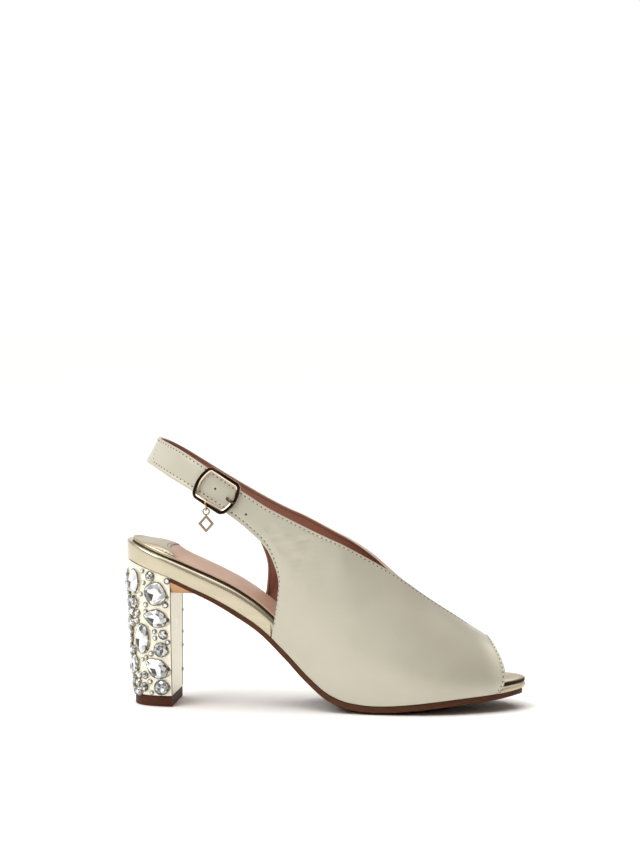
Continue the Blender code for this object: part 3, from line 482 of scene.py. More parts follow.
def upper_side(sections, side):
    """Outer face of one side of the upper as a function of section number and share of height."""
    rows = np.array([section_row(section, side) for section in sections])
    smooth = np.gradient(rows, axis=0)
    before = smooth.copy()
    after = smooth.copy()
    for row, columns in ((V_ROW, slice(3, 6)), (CORNER_ROW, slice(0, 3))):
        before[row, columns] = rows[row, columns] - rows[row - 1, columns]
        after[row, columns] = rows[row + 1, columns] - rows[row, columns]

    def face(number, share):
        row = min(int(number), len(rows) - 2)
        values = hermite(rows[row], rows[row + 1], after[row], before[row + 1], number - row)
        eased = hermite(rows[row], rows[row + 1], smooth[row], smooth[row + 1], number - row)
        sharp = held((share - CORNER_FADE) / (1.0 - CORNER_FADE)) ** 2
        low, top = values[0:3], eased[3:6] + (values[3:6] - eased[3:6]) * sharp
        if number <= CORNER_ROW:
            low = upper_seat(low[0], side)
        swell_low, swell_high, roof, lead_low, lead_high = values[6:11]
        third = (top - low) / 3
        low_handle = low + third + np.array((lead_low, side * swell_low, 0.0))
        top_handle = top - third + np.array((lead_high, side * swell_high, roof * third[2]))
        rest = 1.0 - share
        return (low * rest ** 3 + 3 * low_handle * share * rest ** 2
                + 3 * top_handle * share ** 2 * rest + top * share ** 3)

    return face


outer_face = upper_side(OUTER_SECTIONS, -1)
inner_face = upper_side(INNER_SECTIONS, 1)
SIDES = ((outer_face, -1), (inner_face, 1))
LAST_SECTION = len(OUTER_SECTIONS) - 1


def face_frame(face, side, number, share):
    """Point of the upper's outer face with its ways outward and back along the shoe."""
    nudge = 0.01
    back = face(min(number + nudge, LAST_SECTION), share) - face(max(number - nudge, 0.0), share)
    up = face(number, min(share + nudge, 1.0)) - face(number, max(share - nudge, 0.0))
    out = np.cross(up, back) * -side
    return face(number, share), out / np.linalg.norm(out), back / np.linalg.norm(back)


def wall_height(face, number):
    """Length of a section of the upper from its lower to its upper edge."""
    return np.linalg.norm(face(number, 1.0) - face(number, 0.0)) * ARC_SHARE

def heel_outline(angle, level):
    """Point of the heel's round back: angle from the middle of the back, level 0 floor, 1 top."""
    breast = BREAST_FLOOR + (BREAST_TOP - BREAST_FLOOR) * level
    back = HEEL_BACK_FLOOR + (HEEL_BACK_TOP - HEEL_BACK_FLOOR) * level
    half = HEEL_HALF_FLOOR + (HEEL_HALF_TOP - HEEL_HALF_FLOOR) * level
    power = 2.0 / HEEL_SQUARENESS
    reach = abs(math.cos(angle)) ** power
    spread = math.copysign(abs(math.sin(angle)) ** power, angle)
    return breast - (breast - back) * reach, half * spread


def heel_rise(angle):
    """Height of the heel itself, from its top piece to the footbed."""
    top_along, _ = heel_outline(angle, 1.0)
    return seam_height(top_along) - GAP - HEEL_BASE


def heel_point(angle, level):
    """Point on the heel's round back at a share of its own height."""
    along, across = heel_outline(angle, level)
    return np.array((along, across, HEEL_BASE + heel_rise(angle) * level))


def add_node(tree, kind, values=None, **settings):
    """A node whose inputs are set, or linked where the value is another node's output."""
    node = tree.nodes.new(kind)
    for name, value in settings.items():
        setattr(node, name, value)
    for name, value in (values or {}).items():
        if isinstance(value, bpy.types.NodeSocket):
            tree.links.new(value, node.inputs[name])
        else:
            node.inputs[name].default_value = value
    return node


def ramp(tree, value, stops):
    """Colour ramp; stops are place and colour."""
    node = add_node(tree, "ShaderNodeValToRGB", {"Fac": value})
    bar = node.color_ramp
    while len(bar.elements) < len(stops):
        bar.elements.new(0.5)
    for element, (at, colour) in zip(bar.elements, stops):
        element.position = at
        element.color = (*colour, 1.0)
    return node.outputs["Color"]


def map_range(tree, value, start, end, low=0.0, high=1.0):
    """A value stretched from one range of numbers to another."""
    values = {"Value": value, "From Min": start, "From Max": end, "To Min": low, "To Max": high}
    return add_node(tree, "ShaderNodeMapRange", values).outputs["Result"]


def mix(tree, factor, first, second, blend_type="MIX"):
    """Blend of two colours."""
    values = {"Factor": factor, "A": first, "B": second}
    return add_node(tree, "ShaderNodeMix", values, data_type="RGBA", blend_type=blend_type).outputs["Result"]


def tinted(colour, share):
    """A colour made lighter or darker."""
    return tuple(min(1.0, part * share) for part in colour)


class Finish:
    """A material in the making: even values on the shader's own sockets, patterns in object coordinates."""

    def __init__(self, name, colour, roughness, metallic=0.0, **sockets):
        self.material = bpy.data.materials.new(name)
        self.material.use_nodes = True
        self.tree = self.material.node_tree
        self.shader = self.tree.nodes["Principled BSDF"]
        self.colour = colour
        values = {"base_color": (*colour, 1.0), "roughness": roughness, "metallic": metallic, **sockets}
        for socket, value in values.items():
            self.shader.inputs[socket.replace("_", " ").title().replace("Ior", "IOR")].default_value = value

    def add(self, kind, values=None, **settings):
        """A node of this material."""
        return add_node(self.tree, kind, values, **settings)

    def places(self, stretch=(1.0, 1.0, 1.0)):
        """Object coordinates, stretched where a pattern runs one way."""
        coordinates = self.add("ShaderNodeTexCoord").outputs["Object"]
        return self.add("ShaderNodeMapping", {"Vector": coordinates, "Scale": stretch}).outputs["Vector"]

    def noise(self, scale, detail=3.0, stretch=(1.0, 1.0, 1.0)):
        """Cloudy pattern; scale in turns a metre."""
        values = {"Vector": self.places(stretch), "Scale": scale, "Detail": detail, "Roughness": 0.55}
        return self.add("ShaderNodeTexNoise", values).outputs["Fac"]

    def cells(self, scale, output="Distance"):
        """Pattern of small cells, as in leather grain."""
        return self.add("ShaderNodeTexVoronoi", {"Vector": self.places(), "Scale": scale}).outputs[output]

    def paint(self, colours):
        """Base colour from a node."""
        self.tree.links.new(colours, self.shader.inputs["Base Color"])

    def tint(self, pattern, *stops):
        """Base colour from a pattern; stops are place and share of the plain colour."""
        self.paint(ramp(self.tree, pattern, [(at, tinted(self.colour, share)) for at, share in stops]))

    def shine(self, pattern, low, high):
        """Roughness between two values, from a pattern."""
        rough = map_range(self.tree, pattern, 0.3, 0.7, low, high)
        self.tree.links.new(rough, self.shader.inputs["Roughness"])

    def relief(self, *layers):
        """Bump over what is there; each layer is a pattern, its depth in mm and its strength."""
        normal = self.shader.inputs["Normal"]
        for pattern, depth, strength in layers:
            values = {"Height": pattern, "Distance": depth * MM, "Strength": strength}
            if normal.is_linked:
                values["Normal"] = normal.links[0].from_socket
            self.tree.links.new(self.add("ShaderNodeBump", values).outputs["Normal"], normal)


def draw_wrinkles(leather):
    """Fine wrinkles lying one above another over the quarter, fading out round their middle."""
    lines = leather.noise(210.0, 1.5, WRINKLE_STRETCH)
    away = leather.add("ShaderNodeVectorMath", {0: leather.places(), 1: WRINKLE_MIDDLE}, operation="DISTANCE")
    fade = map_range(leather.tree, away.outputs["Value"], *WRINKLE_FADE, 1.0, 0.0)
    faded = leather.add("ShaderNodeMath", {0: lines, 1: fade}, operation="MULTIPLY")
    leather.relief((faded.outputs["Value"], 1.0, 0.5))


def make_leather(name, colour, roughness, grain, depth, spread, wrinkled=False, **sockets):
    """Dressed leather: cloudy colour, fine cell grain and pores."""
    leather = Finish(name, colour, roughness, **sockets)
    leather.tint(leather.noise(38.0, 4.0), (0.3, 1 - spread), (0.7, 1 + spread))
    leather.shine(leather.noise(90.0), roughness - 0.05, roughness + 0.06)
    leather.relief((leather.cells(grain), depth, 0.35), (leather.noise(grain * 0.35, 5.0), depth * 1.6, 0.3))
    if wrinkled:
        draw_wrinkles(leather)
    return leather.material


def make_foil_leather(name, colour, roughness):
    """Leather with a metal foil: soft mirror with fine streaks and a trace of grain."""
    foil = Finish(name, colour, roughness, 0.9)
    cloud = foil.noise(70.0, 5.0, (0.35, 1.0, 2.4))
    foil.tint(cloud, (0.25, 0.9), (0.75, 1.08))
    foil.shine(cloud, roughness - 0.04, roughness + 0.07)
    foil.relief((foil.cells(1500.0), 0.012, 0.25), (foil.noise(120.0), 0.05, 0.2))
    return foil.material


def make_metal(name, colour, roughness):
    """Polished plate with hair-fine marks."""
    plate = Finish(name, colour, roughness, 1.0)
    upright = (1.0, 1.0, 6.0)
    marks = plate.noise(900.0, 4.0, upright)
    plate.shine(marks, roughness * 0.7, roughness * 1.5)
    plate.tint(plate.noise(160.0, stretch=upright), (0.3, 0.93), (0.7, 1.04))
    plate.relief((marks, 0.004, 0.2))
    return plate.material


def make_buckle_plate(gold, dark, roughness):
    """Gold plate whose broad faces are painted dark, a painted reflection of the dark room, and whose edges
    shine; the mesh says where.
    """
    plate = Finish("buckle_plate", gold, roughness, 1.0)
    shade = plate.add("ShaderNodeAttribute", attribute_name="painted_dark_reflection").outputs["Fac"]
    plate.paint(mix(plate.tree, shade, (*gold, 1.0), (*dark, 1.0)))
    marks = plate.noise(700.0, 4.0)
    plate.shine(marks, roughness * 0.7, roughness * 1.6)
    plate.relief((marks, 0.004, 0.2))
    return plate.material


def make_sole_edge(colour):
    """Stained leather edge: fibres along the sole and a burnished shine."""
    edge = Finish("sole_edge", colour, 0.6, specular_ior_level=0.25)
    fibres = edge.noise(1500.0, 5.0, (0.12, 0.12, 1.0))
    edge.tint(fibres, (0.3, 0.7), (0.7, 1.35))
    edge.relief((fibres, 0.05, 0.35))
    return edge.material


def make_top_piece_rubber(colour):
    """Brown top piece with the fine level lines of its layers."""
    rubber = Finish("top_piece_rubber", colour, 0.6, specular_ior_level=0.2)
    values = {"Vector": rubber.places(), "Scale": 300.0, "Distortion": 1.2, "Detail": 2.0}
    lines = rubber.add("ShaderNodeTexWave", values, bands_direction="Z").outputs["Fac"]
    rubber.tint(lines, (0.1, 0.7), (0.9, 1.3))
    rubber.relief((lines, 0.08, 0.4))
    return rubber.material


def make_heel_wrap(colour):
    """Cream-gold wrap with the faint sparkle of fine flakes."""
    cover = Finish("heel_wrap", colour, 0.34, 0.35, coat_weight=0.3, coat_roughness=0.15)
    cover.tint(cover.cells(2600.0, "Color"), (0.2, 0.9), (0.9, 1.12))
    cover.relief((cover.cells(2600.0), 0.02, 0.3))
    return cover.material


def make_cut_glass():
    """Foiled cut glass: each facet's painted reflection, its share of light, is read from the mesh."""
    glass = Finish("cut_glass", (0.9, 0.92, 0.92), 0.05, 0.25, coat_weight=0.5, coat_roughness=0.03, ior=1.6)
    flash = glass.add("ShaderNodeAttribute", attribute_name="flash").outputs["Fac"]
    values = {0: glass.cells(700.0), 1: -0.12, 2: flash}
    depth = glass.add("ShaderNodeMath", values, operation="MULTIPLY_ADD").outputs["Value"]
    glass.paint(ramp(glass.tree, depth, [(0.0, (0.012, 0.012, 0.014)), (0.25, (0.09, 0.095, 0.09)),
                                         (0.5, (0.31, 0.325, 0.31)), (0.75, (0.64, 0.66, 0.66)),
                                         (0.95, (0.90, 0.905, 0.94))]))
    glass.shine(glass.noise(300.0), 0.03, 0.09)
    return glass.material


def make_thread(name, colour):
    """Twisted thread."""
    thread = Finish(name, colour, 0.6)
    twist = thread.noise(3000.0, 2.0)
    thread.tint(twist, (0.3, 0.8), (0.7, 1.15))
    thread.relief((twist, 0.05, 0.4))
    return thread.material


def make_floor_paint():
    """Pale studio floor."""
    floor = Finish("floor_paint", (0.95, 0.935, 0.91), 0.75)
    tones = [(0.3, (0.945, 0.93, 0.905)), (0.7, (0.955, 0.94, 0.915))]
    floor.paint(ramp(floor.tree, floor.noise(6.0), tones))
    return floor.material


pearl_leather = make_leather("pearl_leather", (0.51, 0.49, 0.395), 0.42, 1400.0, 0.022, 0.03, wrinkled=True,
                             metallic=0.3, coat_weight=0.35, coat_roughness=0.28, sheen_weight=0.05)
lining_leather = make_leather("lining_leather", (0.25, 0.09, 0.052), 0.55, 1100.0, 0.03, 0.12)
edge_paint = make_leather("edge_paint", (0.50, 0.40, 0.32), 0.45, 1800.0, 0.015, 0.05)
nude_sock = make_leather("nude_sock", (0.52, 0.335, 0.235), 0.48, 1200.0, 0.03, 0.06)
# The sock's edge band: dark raw edge and painted shadow of the gap between sock and footbed.
sock_edge = make_leather("sock_edge", (0.030, 0.022, 0.007), 0.7, 1600.0, 0.03, 0.15, specular_ior_level=0.25)
gold_sock = make_foil_leather("gold_sock", (0.57, 0.50, 0.37), 0.38)
toe_leather = make_leather("toe_leather", (0.62, 0.53, 0.39), 0.42, 1500.0, 0.012, 0.04, metallic=0.25)
gold_leather = make_foil_leather("gold_leather", (0.51, 0.46, 0.345), 0.18)
sole_edge = make_sole_edge((0.070, 0.022, 0.005))
sole_tread = make_leather("sole_tread", (0.55, 0.31, 0.15), 0.5, 900.0, 0.04, 0.1)
top_piece_rubber = make_top_piece_rubber((0.065, 0.018, 0.006))
heel_wrap = make_heel_wrap((0.86, 0.83, 0.69))
breast_foil = make_foil_leather("breast_foil", (0.60, 0.56, 0.43), 0.3)
gold_plate = make_metal("gold_plate", (0.64, 0.47, 0.26), 0.16)
charm_plate = make_metal("charm_plate", (0.27, 0.21, 0.135), 0.2)
prong_plate = make_metal("prong_plate", (0.10, 0.07, 0.045), 0.2)
# Buckle plate: gold, its broad faces painted near black as a painted reflection of the dark room.
buckle_plate = make_buckle_plate((0.80, 0.66, 0.50), (0.022, 0.012, 0.009), 0.14)
setting_metal = make_metal("setting_metal", (0.60, 0.57, 0.47), 0.25)
# Painted shadow: the collars' dark lip and inner wall stand for the shadow in the gap round each stone.
collar_painted_shadow = make_metal("collar_painted_shadow", (0.10, 0.095, 0.07), 0.3)
# Cup metal painted darker: it also stands for the dark ring of shade round each small stone.
cup_metal_and_shade = make_metal("cup_metal_and_shade", (0.27, 0.25, 0.18), 0.28)
cut_glass = make_cut_glass()
cream_thread = make_thread("cream_thread", (0.60, 0.55, 0.44))
brown_thread = make_thread("brown_thread", (0.10, 0.036, 0.022))
# Dark beads for needle holes, strap holes and punched dots: painted shade in place of holes.
hole_shade = make_thread("hole_shade", (0.045, 0.033, 0.022))
floor_paint = make_floor_paint()


def finish_piece(piece, body="shoe", replaces=()):
    """Let a piece ride on a body and stand for the nodes it replaces."""
    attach(piece, body)
    if replaces:
        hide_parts(*replaces)


def add_object(name, data):
    """A new object in the scene."""
    item = bpy.data.objects.new(name, data)
    bpy.context.scene.collection.objects.link(item)
    return item


def add_modifier(piece, name, kind, **settings):
    """A modifier with its settings."""
    modifier = piece.modifiers.new(name, kind)
    for label, value in settings.items():
        setattr(modifier, label, value)
    return modifier


def piece_from(bm, name, materials, sharp=40.0, turn_out=True):
    """A mesh as an object at the origin, its faces outwards."""
    if turn_out:
        bmesh.ops.recalc_face_normals(bm, faces=bm.faces)
    mesh = bpy.data.meshes.new(name)
    bm.to_mesh(mesh)
    bm.free()
    for material in materials:
        mesh.materials.append(material)
    mesh.shade_smooth()
    mesh.set_sharp_from_angle(angle=math.radians(sharp))
    return add_object(name, mesh)


def paint_faces(piece, index, where):
    """One of a piece's materials on the faces chosen by number and polygon."""
    for number, polygon in enumerate(piece.data.polygons):
        if where(number, polygon):
            polygon.material_index = index


def along_of(polygon):
    """Place along the shoe of a face's middle."""
    return polygon.center.x / MM + HEEL_REST


def bridge(bm, first, second, closed=True):
    """Faces between two lines of points of equal count."""
    count = len(first)
    for spot in range(count if closed else count - 1):
        after = (spot + 1) % count
        bm.faces.new((first[spot], first[after], second[after], second[spot]))


def loft(bm, rings, to_place=place, caps=True):
    """Faces through rings of equal count, with both ends filled; returns the rings' points."""
    loops = [[bm.verts.new(to_place(point)) for point in ring] for ring in rings]
    for pair in zip(loops, loops[1:]):
        bridge(bm, *pair)
    if caps:
        bm.faces.new(loops[0])
        bm.faces.new(loops[-1])
    return loops


def ring_of_loops(bm, loops):
    """Faces of a closed ring of loops of points."""
    for pair in zip(loops, loops[1:] + loops[:1]):
        bridge(bm, *pair)


def frozen(piece):
    """The piece with its modifiers worked into its mesh."""
    bpy.context.view_layer.update()
    evaluated = piece.evaluated_get(bpy.context.evaluated_depsgraph_get())
    mesh = bpy.data.meshes.new_from_object(evaluated)
    piece.modifiers.clear()
    piece.data = mesh
    return piece


CREASE_LINES = [(outer_face(*crease.start), outer_face(*crease.end), crease) for crease in CREASES]


def crease_depth(point):
    """How far the soft creases pull the upper in at a point."""
    depth = 0.0
    for start, end, crease in CREASE_LINES:
        run = end - start
        share = held(float(np.dot(point - start, run) / np.dot(run, run)))
        taper = max(0.0, 1.0 - (2.0 * share - 1.0) ** 2)
        away = np.linalg.norm(point - start - run * share)
        depth += crease.depth * taper * math.exp(-(away / crease.width) ** 2)
    return depth


def stitch_relief(from_edge, inset):
    """Relief beside an edge: the fold puffs out and the stitches pull in."""
    pull = STITCH_DIP * math.exp(-((from_edge - inset) / STITCH_DIP_WIDTH) ** 2)
    puff = EDGE_PUFF * math.exp(-((from_edge - FOLD_PLACE * inset) / STITCH_DIP_WIDTH) ** 2)
    return puff - pull


def shares_up(height):
    """Shares of a section's height: close to both edges, even between."""
    low = [step / height for step in EDGE_PLACES]
    top = [1.0 - share for share in reversed(low)]
    middle = np.linspace(low[-1], top[0], STEPS_BETWEEN + 2)[1:-1]
    return low + list(middle) + top


def make_upper():
    """Both sides, the bridge over the toes and the sling: one leather wall with its lining."""
    toe_step = np.linalg.norm(outer_face(1.0, 0.5) - outer_face(0.0, 0.5))
    toe_numbers = [step / toe_step for step in EDGE_PLACES]
    even = np.arange(0, LAST_SECTION * STEPS_PER_SECTION + 1) / STEPS_PER_SECTION
    numbers = toe_numbers + [number for number in even if number > toe_numbers[-1] + 0.02]
    bm = bmesh.new()
    strips = []
    for face, side in SIDES:
        strip = []
        for row, number in enumerate(numbers):
            height = wall_height(face, number)
            shares = shares_up(height)
            line = []
            for step, share in enumerate(shares):
                if strips and (number == LAST_SECTION or (number <= V_ROW and share == shares[-1])):
                    line.append(strips[0][row][step])
                    continue
                point, out, _ = face_frame(face, side, number, share)
                lift = 0.0
                if number > V_ROW:
                    lift += stitch_relief((1.0 - share) * height, TOP_INSET)
                if number > CORNER_ROW:
                    lift += stitch_relief(share * height, LOW_INSET)
                if number < toe_numbers[-1]:
                    lift += stitch_relief(number * toe_step, TOP_INSET)
                if side < 0:
                    lift -= crease_depth(point)
                line.append(bm.verts.new(place(point + out * lift)))
            strip.append(line)
        strips.append(strip)
        for line, following in zip(strip, strip[1:]):
            bridge(bm, *((line, following) if side < 0 else (following, line)), closed=False)
    bm.normal_update()
    upper = piece_from(bm, "upper_leather", [pearl_leather, lining_leather, edge_paint], 60.0, turn_out=False)
    add_modifier(upper, "leather wall", "SOLIDIFY", thickness=WALL * MM, offset=-1.0, use_even_offset=True,
                 use_quality_normals=True, material_offset=1, material_offset_rim=2)
    add_modifier(upper, "folded edge", "BEVEL", width=FOLD_WIDTH * MM, segments=3, limit_method="ANGLE",
                 angle_limit=math.radians(55), harden_normals=False, material=0)
    finish_piece(frozen(upper), replaces=["upper"])


MARK_COLUMNS = ("heading", "facing", "size")
Mark = namedtuple("Mark", ("point", *MARK_COLUMNS), defaults=((1.0, 1.0, 1.0),))


def walk(face, side, path, inside):
    """Stitches along a path of section number and share, on the outer or inner face."""
    lengths = run_lengths(np.array([face(number, share) for number, share in path]))
    numbers, shares = np.array(path).T

    def at(reach):
        return float(np.interp(reach, lengths, numbers)), float(np.interp(reach, lengths, shares))

    count = int(lengths[-1] / STITCH_SPACING)
    start = 0.5 * (lengths[-1] - count * STITCH_SPACING)
    marks = []
    for reach in np.arange(count + 1) * STITCH_SPACING + start:
        heading = face(*at(min(reach + 0.5, lengths[-1]))) - face(*at(max(reach - 0.5, 0.0)))
        point, out, _ = face_frame(face, side, *at(reach))
        depth = -WALL - STITCH_DIP if inside else -STITCH_DIP
        marks.append(Mark(point + out * depth, heading, -out if inside else out))
    return marks


def edge_path(face, first, last, at_top):
    """Path beside an edge of the upper, a stitch's distance in."""
    path = []
    for number in np.arange(first, last + 1e-6, 0.1):
        height = wall_height(face, number)
        path.append((number, 1.0 - TOP_INSET / height if at_top else LOW_INSET / height))
    return path


def toe_path(face):
    """Path round the toe opening, a stitch's distance in."""
    path = []
    for share in np.linspace(0.03, 1.0, 60):
        step = np.linalg.norm(face(1.0, share) - face(0.0, share))
        path.append((TOP_INSET / step, share))
    return path


def stitch_marks(inside):
    """Every stitch on one face of the upper."""
    marks = []
    for face, side in SIDES:
        low_end, top_end = STRAP_END if side < 0 and not inside else (LAST_SECTION, LAST_SECTION)
        for path in (edge_path(face, V_ROW + 0.3, top_end, True),
                     edge_path(face, CORNER_ROW + 0.15, low_end, False), toe_path(face)):
            marks += walk(face, side, path, inside)
    low_end, top_end = STRAP_END
    across_strap = [(low_end + (top_end - low_end) * share, share) for share in np.linspace(0.14, 0.84, 12)]
    return marks + walk(outer_face, -1, across_strap, inside)


def layout_tree(name, inputs, shape_from):
    """Geometry nodes that lay a shape on every mark, turned by its heading and facing, as a plain mesh."""
    tree = bpy.data.node_groups.new(name, "GeometryNodeTree")
    sockets = {}
    for label, kind in (("Marks", "Geometry"), *inputs, ("Finish", "Material")):
        sockets[label] = tree.interface.new_socket(name=label, in_out="INPUT",
                                                   socket_type=f"NodeSocket{kind}")
    tree.interface.new_socket(name="Pieces", in_out="OUTPUT", socket_type="NodeSocketGeometry")
    given = add_node(tree, "NodeGroupInput").outputs
    columns = [add_node(tree, "GeometryNodeInputNamedAttribute", {"Name": column}, data_type="FLOAT_VECTOR")
               for column in MARK_COLUMNS]
    heading, facing, size = (node.outputs["Attribute"] for node in columns)
    turn = add_node(tree, "FunctionNodeAxesToRotation", {"Primary Axis": facing, "Secondary Axis": heading},
                    primary_axis="Z", secondary_axis="X").outputs["Rotation"]
    values = {"Points": given["Marks"], "Instance": shape_from(tree, given), "Rotation": turn, "Scale": size}
    laid = add_node(tree, "GeometryNodeInstanceOnPoints", values)
    real = add_node(tree, "GeometryNodeRealizeInstances", {"Geometry": laid.outputs["Instances"]})
    values = {"Geometry": real.outputs["Geometry"], "Material": given["Finish"]}
    finished = add_node(tree, "GeometryNodeSetMaterial", values)
    add_node(tree, "NodeGroupOutput", {"Pieces": finished.outputs["Geometry"]})
    return tree, sockets


def bead_shape(tree, given):
    """Round bead stretched to a length, width and height."""
    bead = add_node(tree, "GeometryNodeMeshUVSphere", {"Segments": 8, "Rings": 5, "Radius": 0.5})
    sizes = {axis: given[label] for axis, label in zip("XYZ", BEAD_SIZES)}
    size = add_node(tree, "ShaderNodeCombineXYZ", sizes)
    values = {"Geometry": bead.outputs["Mesh"], "Scale": size.outputs["Vector"]}
    return add_node(tree, "GeometryNodeTransform", values).outputs["Geometry"]


def pattern_shape(tree, given):
    """A pattern piece as it is."""
    return add_node(tree, "GeometryNodeObjectInfo", {"Object": given["Piece"]}).outputs["Geometry"]


BEAD_SIZES = ("Length", "Width", "Height")
BEADS = layout_tree("stitches", [(label, "Float") for label in BEAD_SIZES], bead_shape)
SETTINGS = layout_tree("set_pieces", [("Piece", "Object")], pattern_shape)


def lay_out(name, marks, kind, values, smooth=True):
    """A plain mesh of one shape laid on every mark by a geometry nodes tree."""
    tree, sockets = kind
    mesh = bpy.data.meshes.new(name)
    mesh.from_pydata([place(mark.point) for mark in marks], [], [])
    for column in MARK_COLUMNS:
        data = mesh.attributes.new(column, "FLOAT_VECTOR", "POINT").data
        data.foreach_set("vector", np.array([getattr(mark, column) for mark in marks], float).ravel())
    piece = add_object(name, mesh)
    modifier = add_modifier(piece, "laid out", "NODES", node_group=tree)
    for label, value in values.items():
        modifier[sockets[label].identifier] = value
    frozen(piece)
    if smooth:
        piece.data.shade_smooth()
    finish_piece(piece)


def lay_beads(name, marks, size, finish):
    """Beads of one size, in mm, on every mark."""
    sizes = {label: part * MM for label, part in zip(BEAD_SIZES, size)}
    lay_out(name, marks, BEADS, {**sizes, "Finish": finish})


def make_stitches():
    """Thread and the painted shade of needle holes along every edge of the upper, outside and in."""
    for inside, where, thread in ((False, "upper", cream_thread), (True, "lining", brown_thread)):
        marks = stitch_marks(inside)
        lay_beads(f"{where}_thread", marks, THREAD_SIZE, thread)
        holes = []
        for mark in marks:
            step = mark.heading / np.linalg.norm(mark.heading) * 0.5 * STITCH_SPACING
            lift = mark.facing * (0.0 if inside else 0.5 * STITCH_DIP)
            holes.append(mark._replace(point=mark.point + step + lift))
        lay_beads(f"{where}_needle_holes", holes, HOLE_SIZE, hole_shade)


def make_strap_holes():
    """Punched holes in the strap, drawn as dark beads of painted shade."""
    marks = []
    for number, share in STRAP_HOLES:
        point, out, back = face_frame(outer_face, -1, number, share)
        marks.append(Mark(point, back, out))
    lay_beads("strap_holes", marks, STRAP_HOLE_SIZE, hole_shade)


def quarter_edge(side, above):
    """Place along the shoe of the upper's back edge, at a height above its lower corner."""
    sections = OUTER_SECTIONS if side < 0 else INNER_SECTIONS
    corner = sections[CORNER_ROW].low[0]
    following = sections[CORNER_ROW + 1].low
    slant = (following[0] - corner) / (following[2] - seam_height(corner))
    return corner + slant * above


def toe_edge(side, above):
    """Place along the shoe of the upper's leaning front edge at a height over the sole's seam."""
    face = outer_face if side < 0 else inner_face
    points = [face(0.0, share) for share in np.linspace(0.0, 0.2, 11)]
    heights = [point[2] - seam_height(point[0]) - UPPER_LIFT for point in points]
    return float(np.interp(above, heights, [point[0] for point in points]))


def seat_inset(along, side, above):
    """How far the footbed is set in where the upper comes down beside it."""
    back = quarter_edge(side, above) - BED_STEP
    front = toe_edge(side, above) + BED_STEP
    return UPPER_SEAT if back < along < front else 0.0


Rim = namedtuple("Rim", "points outward")


def rim_of(half, start, end, extra=()):
    """Outline of a sole piece seen from above: back tip, outer side, toe tip, inner side."""
    places = stations(start, end, 2.0, HEEL_ROUND, TOE_ROUND, extra)
    outer = [(along, centre_line(along) - half(along)) for along in places]
    inner = [(along, centre_line(along) + half(along)) for along in reversed(places)]
    points = np.array([(start, centre_line(start)), *outer, (end, centre_line(end)), *inner])
    ahead = np.roll(points, -1, axis=0) - np.roll(points, 1, axis=0)
    outward = np.column_stack([ahead[:, 1], -ahead[:, 0]])
    return Rim(points, outward / np.linalg.norm(outward, axis=1)[:, None])


def wrap(bm, rim, levels):
    """Closed body inside an outline; each level has its inset at a place and side, and its height."""
    toe = len(rim.points) // 2
    loops = []
    for inset_at, height_at in levels:
        loop = []
        for spot, (point, outward) in enumerate(zip(rim.points, rim.outward)):
            along, across = point - outward * inset_at(point[0], -1 if spot <= toe else 1)
            loop.append(bm.verts.new(place((along, across, height_at(along)))))
        loops.append(loop)
    for pair in zip(loops, loops[1:]):
        bridge(bm, *pair)
    for loop in (loops[0], loops[-1]):
        bm.faces.new((loop[0], loop[1], loop[-1]))
        for spot in range(1, toe - 1):
            bm.faces.new((loop[spot], loop[spot + 1], loop[-spot - 1], loop[-spot]))
        bm.faces.new((loop[toe - 1], loop[toe], loop[toe + 1]))


def bed_radius(along):
    """Radius of the footbed's rounded upper edge, tighter behind the heel."""
    start, reach = SHOULDER_GROWTH
    grow = held((along - start) / reach)
    return min(BACK_SHOULDER + (BED_SHOULDER - BACK_SHOULDER) * grow, 0.55 * bed_thickness(along))


def bed_level(turn):
    """Level of the footbed's rounded edge: turn 0 where it leaves the wall, a right angle on top."""
    def height_at(along):
        return bed_top(along) - bed_radius(along) * (1 - math.sin(turn))

    def inset_at(along, side):
        above = height_at(along) - seam_height(along) - GAP
        return bed_radius(along) * (1 - math.cos(turn)) + seat_inset(along, side, above)

    return inset_at, height_at


def bed_foot(inset, rise):
    """Level at the foot of the footbed's wall."""
    return ((lambda along, side: inset + seat_inset(along, side, rise)),
            (lambda along: seam_height(along) + GAP + rise))


def make_footbed():
    """Footbed wrapped in gold foil leather, its upper edge rounded; paler leather in the toe opening."""
    steps = []
    for side, sections in ((-1, OUTER_SECTIONS), (1, INNER_SECTIONS)):
        corner = sections[CORNER_ROW].low[0]
        rises = [share * bed_thickness(corner) for share in np.linspace(0.0, 1.0, 8)]
        steps += [quarter_edge(side, rise) - BED_STEP + STEP_EDGE for rise in rises]
        steps += [corner - BED_STEP - STEP_RAMP]
        for rise in np.linspace(0.0, bed_thickness(SHOE_LENGTH), 8):
            front = toe_edge(side, rise) + BED_STEP
            steps += [front - STEP_EDGE, front + STEP_RAMP]
    levels = [bed_foot(BED_FOOT, 0.0), bed_foot(0.0, BED_FOOT_RISE)]
    levels += [bed_level(math.radians(angle)) for angle in range(0, 91, 10)]
    bm = bmesh.new()
    wrap(bm, rim_of(half_width, SEAT_BACK, SHOE_LENGTH, steps), levels)
    bed = piece_from(bm, "footbed_wrap", [gold_leather, toe_leather], 50.0)
    paint_faces(bed, 1, lambda number, polygon: along_of(polygon) > SOCK_TOE_JOIN)
    finish_piece(bed, replaces=["footbed"])


def heel_pad(along):
    """Rise of the padded heel part of the insole, thin at its back end."""
    start, end = PAD_FALL
    fall = held((along - start) / (end - start))
    swell = softened(held((along - INSOLE_INSET) / PAD_ROUND))
    return (swell * (HEEL_PAD + PAD_THIN) - PAD_THIN) * 0.5 * (1.0 + math.cos(math.pi * fall))


def toe_crown(along):
    """Rise of the sock's middle where it shows in the toe opening."""
    return TOE_CROWN * softened(held((along - CROWN_FROM) / CROWN_REACH))


def sock_half(along):
    """Half width of the insole."""
    end = SHOE_LENGTH - INSOLE_TOE_INSET
    heel = round_end(along - INSOLE_INSET, HEEL_ROUND)
    toe = round_end(end - along, TOE_ROUND)
    return (straight_half(along) - UPPER_SEAT - INSOLE_INSET) * heel * toe


